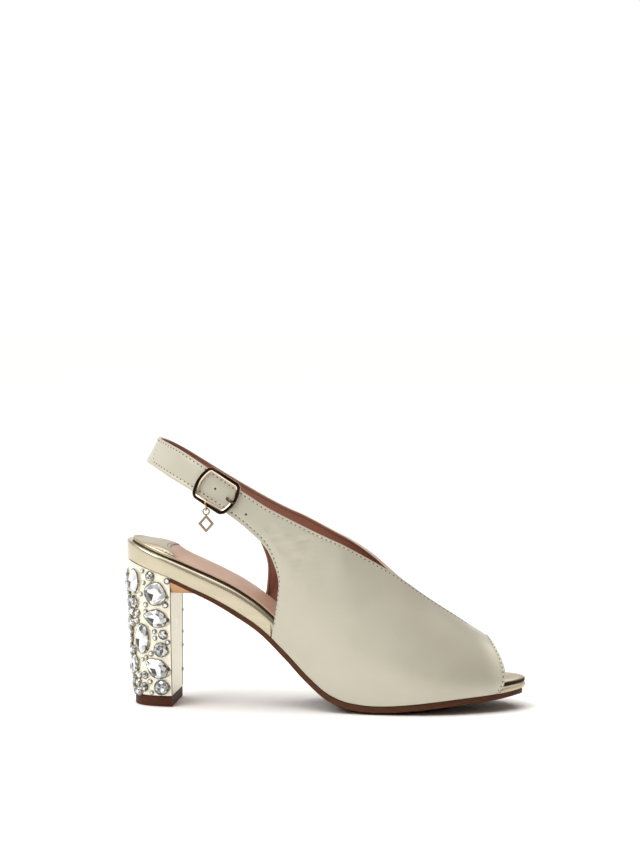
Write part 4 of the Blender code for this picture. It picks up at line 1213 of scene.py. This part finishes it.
def sock_face(along, inset):
    """Height of the insole's face at a distance in from its rim: rounded edge, padded heel, crowned toe."""
    radius = TOE_RADIUS if along > SOCK_TOE_JOIN else SOCK_RADIUS
    edge = max(0.0, radius - inset)
    rounded = math.sqrt(radius ** 2 - edge ** 2) - radius
    padded = min(1.0, inset / PAD_EDGE)
    crowned = min(1.0, inset / CROWN_EDGE)
    return (sock_top(along) + rounded + heel_pad(along) * padded * (2.0 - padded)
            + toe_crown(along) * crowned * (2.0 - crowned))


def sock_level(inset):
    """Level of the insole's face at an even inset."""
    return (lambda along, side: inset), (lambda along: sock_face(along, inset))


def dark_edge(along):
    """Height of the sock's dark edge band, its raw edge with painted shadow of the gap below: little shows
    under the rolled heel part, more at the toe.
    """
    if along > SOCK_TOE_JOIN:
        return TOE_EDGE
    before, reach = RAW_EDGE_GROWTH
    return ROLLED_EDGE + (RAW_EDGE - ROLLED_EDGE) * held((along - HEEL_SOCK_END + before) / reach)


def sock_foot(share):
    """Level of the insole's upright edge at a share of its raw edge."""
    return (lambda along, side: 0.0), (lambda along: bed_top(along) + GAP + share * dark_edge(along))


SOCK_RIM = rim_of(sock_half, INSOLE_INSET, SHOE_LENGTH - INSOLE_TOE_INSET)


def make_insole():
    """Leather sock with a dark edge band, raw edge and painted shadow of the gap, and a soft shoulder; its
    toe end is foil leather.
    """
    levels = [sock_foot(0.0), sock_foot(1.0)]
    levels += [sock_level(inset) for inset in SOCK_INSETS]
    bm = bmesh.new()
    wrap(bm, SOCK_RIM, levels)
    sock = piece_from(bm, "insole_sock", [nude_sock, sock_edge, gold_sock], 50.0)
    count = len(SOCK_RIM.points)
    paint_faces(sock, 2, lambda number, polygon: along_of(polygon) > SOCK_TOE_JOIN
                or (along_of(polygon) < HEEL_SOCK_END and number < 5 * count))
    # Dark edge band at the foot of the sock: raw edge and painted shadow of the gap under it.
    paint_faces(sock, 1, lambda number, polygon: number < count)
    finish_piece(sock, replaces=["insole"])


def heel_sock_front(share):
    """Place along of the heel sock's scalloped front edge."""
    hollow = HEEL_SOCK_HOLLOW * (1.0 - share * share * (1.0 if share < 0.0 else INNER_HOLLOW))
    return HEEL_SOCK_END - hollow + SCALLOP * abs(math.sin(0.5 * math.pi * SCALLOPS * (share + 1.0)))


def sock_spot(along, across, lift):
    """Point over the insole's face; the distance to its rim gives the height."""
    away = np.min(np.hypot(SOCK_RIM.points[:, 0] - along, SOCK_RIM.points[:, 1] - across))
    return along, across, sock_face(along, away) + lift


def heel_sock_rim(count):
    """Points at even steps round the back of the heel sock, from its outer to its inner front corner."""
    inside = SOCK_RIM.points - SOCK_RIM.outward * HEEL_SOCK_INSET
    toe = len(inside) // 2
    outer = [point for point in inside[toe - 1:0:-1] if point[0] < HEEL_SOCK_END]
    inner = [point for point in inside[:toe:-1] if point[0] < heel_sock_front(1.0)]
    points = np.array([*outer, inside[0], *inner])
    lengths = run_lengths(points)
    steps = np.linspace(0.0, lengths[-1], count)
    return np.column_stack([np.interp(steps, lengths, points[:, 0]), np.interp(steps, lengths, points[:, 1])])


def heel_sock_edge(share, inset=0.0):
    """Point in plan at a share across the heel sock's front edge, or set back from it."""
    along = heel_sock_front(share) - inset
    return along, centre_line(along) + share * (sock_half(along) - HEEL_SOCK_INSET)


def make_heel_sock():
    """Gold heel part of the sock with a scalloped front edge and a row of punched dots, dark beads of painted
    shade.
    """
    count = 8 * SCALLOPS + 1
    front = np.array([heel_sock_edge(share) for share in np.linspace(-1.0, 1.0, count)])
    bm = bmesh.new()
    lines = []
    for back, ahead in zip(heel_sock_rim(count), front):
        spots = [back + (ahead - back) * row for row in HEEL_SOCK_ROWS]
        lines.append([bm.verts.new(place(sock_spot(*spot, HEEL_SOCK_LIFT))) for spot in spots])
    for pair in zip(lines, lines[1:]):
        bridge(bm, *pair, closed=False)
    bm.normal_update()
    if sum(face.normal.z for face in bm.faces) < 0:
        bmesh.ops.reverse_faces(bm, faces=bm.faces)
    sock = piece_from(bm, "heel_sock", [gold_sock], 50.0, turn_out=False)
    add_modifier(sock, "sock thickness", "SOLIDIFY", thickness=HEEL_SOCK_THICKNESS * MM, offset=1.0)
    finish_piece(frozen(sock))
    marks = []
    for share in np.linspace(-0.94, 0.94, 2 * SCALLOPS):
        point = sock_spot(*heel_sock_edge(share, DOT_INSET), HEEL_SOCK_LIFT + HEEL_SOCK_THICKNESS)
        marks.append(Mark(point, (1.0, 0.0, 0.0), (0.3, 0.0, 1.0)))
    lay_beads("heel_sock_dots", marks, DOT_SIZE, hole_shade)


def make_outsole():
    """Thin sole: stained edge, paler tread, back end turned down the heel breast."""
    shares = [*np.linspace(-1.0, -0.8, 5), *np.linspace(-0.7, 0.7, 15), *np.linspace(0.8, 1.0, 5)]
    start = BREAST_TOP + GAP
    end = SHOE_LENGTH - SOLE_TOE_INSET
    lip = [start + share * LIP_LENGTH for share in np.linspace(0.08, 1.0, 8)]
    rings = []
    for along in stations(start, end, 2.0, end_round=TOE_ROUND, extra=lip):
        half = half_width(along + 0.5 * SOLE_TOE_INSET) - SOLE_INSET
        middle = centre_line(along)
        under = [(along, middle + share * half, tread_height(along, share)) for share in shares]
        over = [(along, middle + share * half, seam_height(along)) for share in (1.0, 0.0, -1.0)]
        rings.append(under + over)
    bm = bmesh.new()
    loft(bm, rings)
    sole = piece_from(bm, "outsole_leather", [sole_edge, sole_tread], 40.0)
    waist = start + LIP_LENGTH + TAN_REACH
    paint_faces(sole, 1, lambda number, polygon: polygon.normal.z < -0.1 and along_of(polygon) < waist)
    finish_piece(sole, replaces=["outsole"])


HEEL_ANGLES = [math.radians(angle) for angle in np.linspace(-90.0, 0.0, 31)]


def heel_ring(at_angle):
    """Outline of the heel, its outer breast corner first, with paired points on both sides."""
    outer = [at_angle(angle) for angle in HEEL_ANGLES[:-1]]
    inner = [at_angle(-angle) for angle in reversed(HEEL_ANGLES[:-1])]
    return outer + [at_angle(0.0)] + inner


def heel_body(bm, rings):
    """Closed D-shaped body whose two ends follow their curve from breast to back."""
    loops = loft(bm, rings, caps=False)
    count = len(loops[0])
    for ring in (loops[0], loops[-1]):
        for spot in range(count // 2 - 1):
            mirrored = count - 1 - spot
            bm.faces.new((ring[spot], ring[spot + 1], ring[mirrored - 1], ring[mirrored]))
        tip = count // 2
        bm.faces.new((ring[tip - 1], ring[tip], ring[tip + 1]))


def make_heel():
    """Block heel: cream-gold wrap round the back, a flat foil panel on the breast."""
    levels = np.linspace(0.0, 1.0, 13)
    bm = bmesh.new()
    heel_body(bm, [heel_ring(lambda angle: heel_point(angle, level)) for level in levels])
    heel = piece_from(bm, "heel_wrap", [heel_wrap, breast_foil], 40.0)
    paint_faces(heel, 1, lambda number, polygon: polygon.normal.x > 0.9)
    finish_piece(heel, replaces=["heel"])
    bm = bmesh.new()
    for angle in (-0.5 * math.pi, 0.5 * math.pi):
        path = [heel_point(angle, level) for level in np.linspace(0.005, 0.985, 24)]
        loft(bm, [[(along + EDGE_BEAD * math.cos(turn), across + EDGE_BEAD * math.sin(turn), up)
                   for turn in circle(8)] for along, across, up in path])
    finish_piece(piece_from(bm, "heel_edge_bead", [sole_edge], 60.0))


def make_top_piece():
    """Walking face under the heel with slightly rounded edges."""
    centre = 0.5 * (BREAST_FLOOR + HEEL_BACK_FLOOR)

    def outline(inset, up):
        share = 1.0 - inset / HEEL_HALF_FLOOR
        return heel_ring(lambda angle: (centre + (heel_outline(angle, 0.0)[0] - centre) * share,
                                        heel_outline(angle, 0.0)[1] * share, up))

    levels = [(TOP_PIECE_ROUND, 0.0), (0.1, 0.12), (0.0, TOP_PIECE_ROUND), (0.0, 2.5),
              (0.0, TOP_PIECE - TOP_PIECE_ROUND), (0.1, TOP_PIECE - 0.1), (TOP_PIECE_ROUND, TOP_PIECE)]
    bm = bmesh.new()
    heel_body(bm, [outline(inset, up) for inset, up in levels])
    piece = piece_from(bm, "heel_top_piece_rubber", [top_piece_rubber], 50.0)
    finish_piece(piece, replaces=["heel_top_piece"])


StonePlace = namedtuple("StonePlace", "angle level spot round_way up_way out sideways rise")


def stone_place(angle_degrees, up):
    """Where a stone sits on the heel, with its ways outward, sideways and up."""
    angle = math.radians(angle_degrees)
    level = (up - HEEL_BASE) / heel_rise(angle)
    nudge = 0.01
    round_way = (heel_point(angle + nudge, level) - heel_point(angle - nudge, level)) / (2 * nudge)
    up_way = (heel_point(angle, level + nudge) - heel_point(angle, level - nudge)) / (2 * nudge)
    out = np.cross(up_way, round_way)
    out = out / np.linalg.norm(out)
    sideways = round_way / np.linalg.norm(round_way)
    return StonePlace(angle, level, heel_point(angle, level), round_way, up_way, out, sideways,
                      np.cross(sideways, out))


def stone_plan(stone, count, grow=0.0, half_step=False):
    """Outline of a stone in its own plane, its point up before it leans."""
    lean = math.radians(stone.lean)
    points = []
    for turn in circle(count, 0.5 if half_step else 0.0):
        sideways, upward = math.sin(turn), math.cos(turn)
        if stone.kind == "cushion":
            sideways = math.copysign(abs(sideways) ** CUSHION_POWER, sideways)
            upward = math.copysign(abs(upward) ** CUSHION_POWER, upward)
        if stone.kind == "pear":
            sideways *= 1.0 - PEAR_TAPER * max(0.0, upward)
        across = (0.5 * stone.wide + grow) * sideways
        along = (0.5 * stone.tall + grow) * upward
        points.append((across * math.cos(lean) - along * math.sin(lean),
                       across * math.sin(lean) + along * math.cos(lean)))
    return points


def on_stone(where, flat, lift):
    """Point over a stone's own plane."""
    return where.spot + where.sideways * flat[0] + where.rise * flat[1] + where.out * lift


def on_heel(where, flat, lift):
    """Point over the heel's curved face under a stone."""
    angle = where.angle + flat[0] / np.linalg.norm(where.round_way)
    level = where.level + flat[1] / np.linalg.norm(where.up_way)
    return heel_point(angle, level) + where.out * lift


def cut_gem(bm, flash, rng, stone, where):
    """Facets of one stone, girdle, two rows of crown facets and table, each painted with its reflection,
    darker to the lower left.
    """
    girdle = STONE_SEAT + STONE_GIRDLE
    crown = STONE_CROWN * min(stone.wide, stone.tall)
    wide_row = stone_plan(stone, GEM_SIDES)
    middle_row = stone_plan(stone, GEM_SIDES // 2, half_step=True)
    table_row = stone_plan(stone, GEM_SIDES // 2)
    points = [on_stone(where, flat, GIRDLE_LOW) for flat in wide_row]
    points += [on_stone(where, flat, girdle) for flat in wide_row]
    points += [on_stone(where, np.array(flat) * GEM_MIDDLE, girdle + crown * GEM_MIDDLE_RISE)
               for flat in middle_row]
    points += [on_stone(where, np.array(flat) * STONE_TABLE, girdle + crown) for flat in table_row]
    verts = [bm.verts.new(place(point)) for point in points]
    hull = bmesh.ops.convex_hull(bm, input=verts)
    faces = [item for item in hull["geom"] if isinstance(item, bmesh.types.BMFace)]
    edges = dict.fromkeys(edge for face in faces for edge in face.edges)
    bmesh.ops.dissolve_limit(bm, angle_limit=FLAT_ANGLE, verts=[], edges=list(edges))
    faces = list(dict.fromkeys(face for vert in verts if vert.is_valid for face in vert.link_faces))
    bmesh.ops.recalc_face_normals(bm, faces=faces)
    outward = Vector(where.out)
    lower_left = Vector(where.sideways) - Vector(where.rise)
    middle = place(where.spot)
    level = [face for face in faces if face.normal.dot(outward) > TABLE_FACING]
    table = max(level, key=lambda face: face.calc_area())
    dull = stone.kind == "round"
    faces.remove(table)
    for face in faces:
        turned = (face.calc_center_median() - middle).normalized().dot(lower_left.normalized())
        shade = rng.choice(ROUND_CROWN if dull else FANCY_CROWN)
        # Painted shade: facets turned to the lower left are darker.
        shade *= SHADED_SHARE if turned > SHADED_TURN else 1.0
        face[flash] = shade if face.normal.dot(outward) > 0.1 else SIDE_FLASH
    # Painted reflection: table facets turned to the lower left are painted dark.
    dark_turn = rng.uniform(*DARK_TURN)
    for face in bmesh.ops.poke(bm, faces=[table])["faces"]:
        turned = (face.calc_center_median() - middle - outward * (girdle + crown) * MM).normalized()
        shade = rng.choice(ROUND_TABLE if dull else FANCY_TABLE)
        face[flash] = DARK_FLASH if turned.dot(lower_left.normalized()) > dark_turn and not dull else shade


def collar_loops(stone, where):
    """Metal collar of a stone, from the heel's face to the girdle; its lip and inner wall carry the painted
    shadow round the stone.
    """
    loops = []
    outside = stone_plan(stone, 2 * GEM_SIDES, COLLAR_REACH)
    inside = stone_plan(stone, 2 * GEM_SIDES, -COLLAR_TUCK)
    for far, near in zip(outside, inside):
        loops.append([on_heel(where, far, COLLAR_FOOT), on_stone(where, far, COLLAR_LIP - COLLAR_ROUND),
                      on_stone(where, far, COLLAR_LIP), on_stone(where, near, COLLAR_LIP),
                      on_stone(where, near, GIRDLE_LOW - 0.1), on_heel(where, near, COLLAR_FOOT)])
    return loops


def claw_marks(stone, where):
    """Claws that hold a stone, bent over its girdle."""
    count = 6 if min(stone.wide, stone.tall) > SIX_CLAWS_OVER else 4
    marks = []
    for flat in stone_plan(stone, count, CLAW_REACH, half_step=True):
        outward = where.sideways * flat[0] + where.rise * flat[1]
        outward = outward / np.linalg.norm(outward)
        facing = where.out + CLAW_TILT * outward
        size = 0.8 if count == 6 else 0.55
        point = on_stone(where, flat, STONE_SEAT + CLAW_RISE * STONE_GIRDLE)
        marks.append(Mark(point, outward, facing, (size,) * 3))
    return marks


def small_stone_places():
    """The small stones of the outer side, then as many as fit between the large ones elsewhere."""
    taken = [(stone_place(stone.angle, stone.up).spot, 0.5 * max(stone.wide, stone.tall)) for stone in STONES]
    places = list(SMALL_STONES)
    taken += [(stone_place(small.angle, small.up).spot, 0.5 * small.size) for small in SMALL_STONES]
    for size in FILL_SIZES:
        for up in FILL_HEIGHTS:
            for angle in FILL_ANGLES:
                spot = stone_place(angle, up).spot
                free = all(np.linalg.norm(spot - other) > radius + 0.5 * size + FILL_SLACK
                           for other, radius in taken)
                if free:
                    places.append(SmallStone(angle, up, size))
                    taken.append((spot, 0.5 * size))
    return places


def small_gem_flash(bm):
    """Painted reflection on the facets of a small stone: pale table, darker crown."""
    flash = bm.faces.layers.float.new("flash")
    bm.normal_update()
    for number, face in enumerate(bm.faces):
        if face.normal.z > 0.97:
            face[flash] = SMALL_TABLE_FLASH
        else:
            face[flash] = SMALL_CROWN_FLASH[number % 3] if face.normal.z > 0.1 else SMALL_SIDE_FLASH



def make_stones():
    """Cut stones in their collars and claws, with small stones between."""
    gems = bmesh.new()
    flash = gems.faces.layers.float.new("flash")
    rng = np.random.default_rng(GEM_SEED)
    collars = bmesh.new()
    claws = []
    for stone in STONES:
        where = stone_place(stone.angle, stone.up)
        cut_gem(gems, flash, rng, stone, where)
        loops = collar_loops(stone, where)
        ring_of_loops(collars, [[collars.verts.new(place(point)) for point in loop] for loop in loops])
        claws += claw_marks(stone, where)
    nodes = [f"stone_{number:02d}" for number in range(1, len(STONES) + 1)]
    finish_piece(piece_from(gems, "large_stones", [cut_glass], 1.0), replaces=nodes)
    ring = piece_from(collars, "stone_collars", [collar_painted_shadow, setting_metal], 40.0)
    # Outer wall in the setting metal; lip, inner wall and foot keep the painted shadow.
    paint_faces(ring, 1, lambda number, polygon: number % 6 < 2)
    finish_piece(ring)
    lay_beads("stone_claws", claws, CLAW_SIZE, setting_metal)
    make_small_stones()


def round_points(bm, count, radius, lift, shift=0.0):
    """Points of a small circle, in mm."""
    return [bm.verts.new((radius * math.cos(turn) * MM, radius * math.sin(turn) * MM, lift * MM))
            for turn in circle(count, shift)]


# Small stone one millimetre wide: radius, height and half-step of each row of points; then its cup
SMALL_GEM = ((0.5, 0.0, 0.0), (0.5, 0.22, 0.0), (0.36, 0.36, 0.5), (0.26, 0.42, 0.0))
SMALL_CUP = ((0.6, -0.12), (0.62, 0.1), (0.54, 0.2), (0.47, 0.16), (0.47, -0.12))


def make_small_stones():
    """Small round stones and their cups, each a scaled copy of one pattern piece."""
    bm = bmesh.new()
    for row in SMALL_GEM:
        round_points(bm, 8, *row)
    bmesh.ops.convex_hull(bm, input=bm.verts[:])
    bmesh.ops.dissolve_limit(bm, angle_limit=FLAT_ANGLE, verts=[], edges=bm.edges[:])
    bmesh.ops.recalc_face_normals(bm, faces=bm.faces)
    small_gem_flash(bm)
    gem = piece_from(bm, "small_gem_pattern", [cut_glass], 1.0)
    bm = bmesh.new()
    ring_of_loops(bm, [list(loop) for loop in zip(*(round_points(bm, 16, *row) for row in SMALL_CUP))])
    cup = piece_from(bm, "small_cup_pattern", [cup_metal_and_shade], 40.0)
    marks = []
    for number, small in enumerate(small_stone_places()):
        where = stone_place(small.angle, small.up)
        turn = 0.7 * number
        heading = where.sideways * math.cos(turn) + where.rise * math.sin(turn)
        marks.append(Mark(where.spot + where.out * SMALL_LIFT, heading, where.out, (small.size,) * 3))
    lay_out("small_stones", marks, SETTINGS, {"Piece": gem, "Finish": cut_glass}, smooth=False)
    # The cups' darker metal is partly painted shade round the small stones.
    lay_out("small_stone_cups", marks, SETTINGS, {"Piece": cup, "Finish": cup_metal_and_shade})
    for item in (gem, cup):
        bpy.data.objects.remove(item, do_unlink=True)


def buckle_matrix():
    """Place and turn of the buckle: u along the strap to the toe, w up its width, n outwards."""
    nudge = 0.2
    middle = outer_face(BUCKLE_SECTION, 0.5)
    forward = outer_face(BUCKLE_SECTION - nudge, 0.5) - outer_face(BUCKLE_SECTION + nudge, 0.5)
    upward = outer_face(BUCKLE_SECTION, 0.9) - outer_face(BUCKLE_SECTION, 0.1)
    u = Vector(forward).normalized()
    n = u.cross(Vector(upward)).normalized()
    w = n.cross(u)
    return Matrix.Translation(place(middle)) @ Matrix((u, w, n)).transposed().to_4x4()


def buckle_depth(along_strap):
    """Depth of the frame's middle above the strap: its side bars arch out between its end bars."""
    return GAP + 0.5 * BAR_DEEP + BUCKLE_ARCH * max(0.0, 1.0 - (along_strap / BUCKLE_HALF_LONG) ** 2)


# Section of a buckle bar: side and rise in shares of its width and depth, and how dark the face is painted
# The dark on the broad faces is a painted reflection of the dark room.
BarPoint = namedtuple("BarPoint", "side rise dark")
BAR_SECTION = [BarPoint(*row) for row in (
    (-0.5, -0.34, 0.0), (-0.5, 0.12, 0.0), (-0.44, 0.31, 0.0), (-0.32, 0.41, 0.0), (-0.22, 0.45, 0.1),
    (-0.16, 0.47, 1.0), (0.05, 0.5, 1.0), (0.28, 0.48, 1.0), (0.4, 0.41, 1.0), (0.46, 0.32, 0.9),
    (0.5, 0.12, 0.35), (0.5, -0.34, 0.1), (0.3, -0.5, 0.0), (-0.3, -0.5, 0.0),
)]


def buckle_spot(share):
    """Point at a share of the frame's middle line: round corners, straight side bars, bowed end bars."""
    long, wide = BUCKLE_HALF_LONG - BUCKLE_CORNER, BUCKLE_HALF_WIDE - BUCKLE_CORNER
    corner = 0.5 * math.pi * BUCKLE_CORNER
    quarter, rest = divmod(4.0 * (share % 1.0), 1.0)
    reach = (1.0 - rest if quarter % 2 else rest) * (wide + corner + long)
    if reach < wide:
        u, w = BUCKLE_HALF_LONG, reach
    elif reach < wide + corner:
        turn = (reach - wide) / BUCKLE_CORNER
        u, w = long + BUCKLE_CORNER * math.cos(turn), wide + BUCKLE_CORNER * math.sin(turn)
    else:
        u, w = long + wide + corner - reach, BUCKLE_HALF_WIDE
    u *= 1.0 - BUCKLE_BOW * (w / BUCKLE_HALF_WIDE) ** 2
    return Vector((-u if quarter in (1, 2) else u, -w if quarter in (2, 3) else w))


def make_buckle(matrix):
    """Squarish ring whose bars bow out, and the prong that lies over its front bar."""
    count = 144
    nudge = 0.006
    bm = bmesh.new()
    loops = []
    for spot in range(count):
        share = spot / count
        u, w = buckle_spot(share)
        ahead = buckle_spot(share + nudge) - buckle_spot(share - nudge)
        outward = Vector((ahead.y, -ahead.x)).normalized()
        loops.append([bm.verts.new(matrix @ (Vector((u + outward.x * point.side * BAR_WIDE,
                                                      w + outward.y * point.side * BAR_WIDE,
                                                      buckle_depth(u) + point.rise * BAR_DEEP)) * MM))
                      for point in BAR_SECTION])
    ring_of_loops(bm, loops)
    bar = piece_from(bm, "buckle_frame_plate", [buckle_plate], 60.0)
    # Painted reflection: how dark each face is painted, from the bar's section.
    dark = bar.data.attributes.new("painted_dark_reflection", "FLOAT", "POINT")
    dark.data.foreach_set("value", [point.dark for _ in range(count) for point in BAR_SECTION])
    finish_piece(bar, replaces=["buckle_frame"])
    make_prong(matrix)


def make_prong(matrix):
    """Tip of the prong: out of the strap's hole and over the front bar."""
    over_bar = GAP + BAR_DEEP + GAP + 0.5 * PRONG_DEEP
    low = GAP + 0.5 * PRONG_DEEP
    bar = BUCKLE_HALF_LONG
    route = curve_through([PRONG_START, bar - 2.3, bar - 1.1, bar + 0.2, PRONG_END],
                          [low + 0.5, over_bar + 0.1, over_bar + 0.35, over_bar + 0.3, over_bar])
    rings = []
    for u in np.linspace(PRONG_START, PRONG_END, 22):
        taper = min(1.0, 0.35 + 1.6 * (PRONG_END - u))
        rings.append([(u, PRONG_OFFSET + 0.5 * PRONG_WIDE * taper * math.cos(turn),
                       route(u) + 0.5 * PRONG_DEEP * taper * math.sin(turn)) for turn in circle(12)])
    bm = bmesh.new()
    loft(bm, rings, lambda point: matrix @ (Vector(point) * MM))
    finish_piece(piece_from(bm, "buckle_prong_plate", [prong_plate], 60.0),
                 replaces=["buckle_prong"])


def wire_ring(bm, radius, wire, middle, turn):
    """Round wire ring, turned and set in place."""
    loops = []
    for angle in circle(48):
        loop = []
        for roll in circle(12):
            reach = radius + wire * math.cos(roll)
            point = Vector((reach * math.cos(angle), reach * math.sin(angle), wire * math.sin(roll))) * MM
            loop.append(bm.verts.new(middle + turn @ point))
        loops.append(loop)
    ring_of_loops(bm, loops)


def make_charm(matrix):
    """Jump ring round the buckle's lower bar, and the open lozenge that hangs on it."""
    axis = matrix @ (Vector((LINK_PLACE, -BUCKLE_HALF_WIDE, buckle_depth(LINK_PLACE))) * MM)
    bm = bmesh.new()
    upright = Matrix.Rotation(math.radians(90), 3, "Y")
    wire_ring(bm, LINK_RADIUS, LINK_WIRE, axis - Vector((0.0, 0.0, LINK_HANG * MM)), upright)
    finish_piece(piece_from(bm, "charm_link_wire", [gold_plate], 60.0), "charm_link",
                 ["charm_link"])
    hang = axis - Vector((0.0, 0.0, (LINK_HANG + LINK_RADIUS) * MM))
    eye_middle = hang - Vector((0.0, 0.0, EYE_HANG * MM))
    bm = bmesh.new()
    wire_ring(bm, EYE_RADIUS, EYE_WIRE, eye_middle, Matrix.Rotation(math.radians(90), 3, "X"))
    neck = EYE_HANG + (EYE_RADIUS + EYE_WIRE) * math.cos(math.radians(32))
    lozenge_frame(bm, hang, neck)
    finish_piece(piece_from(bm, "charm_lozenge", [charm_plate], 50.0), "charm", ["charm"])


def lozenge_frame(bm, hang, neck):
    """Open lozenge with bevelled bars, standing on its point."""
    middle = neck + 0.5 * CHARM_TALL
    slack = CHARM_BAR * 1.45
    corners = [(0.0, 1.0), (1.0, 0.0), (0.0, -1.0), (-1.0, 0.0)]
    half_deep = 0.5 * CHARM_THICKNESS
    profile = [(0.0, 0.55), (0.12, 1.0), (0.88, 1.0), (1.0, 0.55), (1.0, -0.55), (0.88, -1.0), (0.12, -1.0),
               (0.0, -0.55)]
    loops = []
    for corner, following in zip(corners, corners[1:] + corners[:1]):
        for step in range(6):
            share = step / 6
            sideways = corner[0] + (following[0] - corner[0]) * share
            upward = corner[1] + (following[1] - corner[1]) * share
            loop = []
            for inward, depth in profile:
                wide = CHARM_HALF_WIDE - slack * inward
                tall = 0.5 * CHARM_TALL - slack * inward
                point = Vector((sideways * wide, depth * half_deep, upward * tall - middle)) * MM
                loop.append(bm.verts.new(hang + point))
            loops.append(loop)
    ring_of_loops(bm, loops)


def make_floor():
    """Plain pale floor under the shoe."""
    bm = bmesh.new()
    bmesh.ops.create_grid(bm, x_segments=2, y_segments=2, size=6.0)
    floor = piece_from(bm, "floor", [floor_paint], turn_out=False)
    for vertex in floor.data.vertices:
        vertex.co.z = -0.0002


def add_light(name, spot, aim, size, power):
    """Large soft box that looks at a point."""
    light = bpy.data.lights.new(name, "AREA")
    light.shape = "RECTANGLE"
    light.size, light.size_y = size
    light.energy = power
    lamp = add_object(name, light)
    lamp.location = spot
    lamp.rotation_euler = (Vector(aim) - Vector(spot)).to_track_quat("-Z", "Y").to_euler()


def make_studio():
    """Soft studio: white room, bright above, a dark band low on the camera's side, large soft boxes."""
    world = bpy.data.worlds.new("studio")
    bpy.context.scene.world = world
    world.use_nodes = True
    tree = world.node_tree
    sky = tree.nodes["Background"]
    ways = add_node(tree, "ShaderNodeTexCoord").outputs["Generated"]
    across, deep, up = add_node(tree, "ShaderNodeSeparateXYZ", {"Vector": ways}).outputs

    def shade_aside(colour, start, end, shade):
        return mix(tree, map_range(tree, across, start, end), colour, shade, "MULTIPLY")

    low, half, back, top = ((share,) * 3 for share in (LOW_SHARE, HALF_SHARE, BACK_SHARE, TOP_SHARE))
    band = ramp(tree, up, [(0.0, low), (0.12, low), (0.32, half), (0.76, half), (0.86, top)])
    band = shade_aside(band, -0.15, 0.4, RIGHT_SHADE)
    band = shade_aside(band, -0.35, -0.7, LEFT_SHADE)
    dim = tinted(back, 0.5)
    behind = ramp(tree, up, [(0.0, back), (0.3, back), (0.45, dim), (0.7, dim), (0.86, top)])
    behind = shade_aside(behind, 0.3, 0.6, RIGHT_SHADE)
    room = mix(tree, map_range(tree, deep, 0.05, -0.3), behind, band)
    tree.links.new(room, sky.inputs["Color"])
    sky.inputs["Strength"].default_value = ROOM_STRENGTH
    add_light("overhead_box", (-0.7, -0.7, 1.4), (0.08, 0.0, 0.05), (1.2, 1.2), 16.0)
    add_light("left_box", (-0.75, -1.35, 0.9), (0.05, 0.0, 0.07), (0.9, 1.2), 2.0)
    bpy.context.scene.view_settings.view_transform = "Standard"


def make_camera():
    """Camera at the photograph's viewing angle."""
    camera = bpy.data.cameras.new("photo_camera")
    camera.lens = CAMERA_LENS
    camera.sensor_width = SENSOR
    viewer = add_object("photo_camera", camera)
    viewer.location = place(CAMERA_PLACE)
    viewer.rotation_euler = (math.radians(90 - CAMERA_PITCH), 0.0, math.radians(CAMERA_YAW))
    bpy.context.scene.camera = viewer


make_camera()
make_studio()
make_floor()
make_upper()
make_stitches()
make_strap_holes()
make_footbed()
make_insole()
make_heel_sock()
make_outsole()
make_heel()
make_top_piece()
make_stones()
BUCKLE_MATRIX = buckle_matrix()
make_buckle(BUCKLE_MATRIX)
make_charm(BUCKLE_MATRIX)
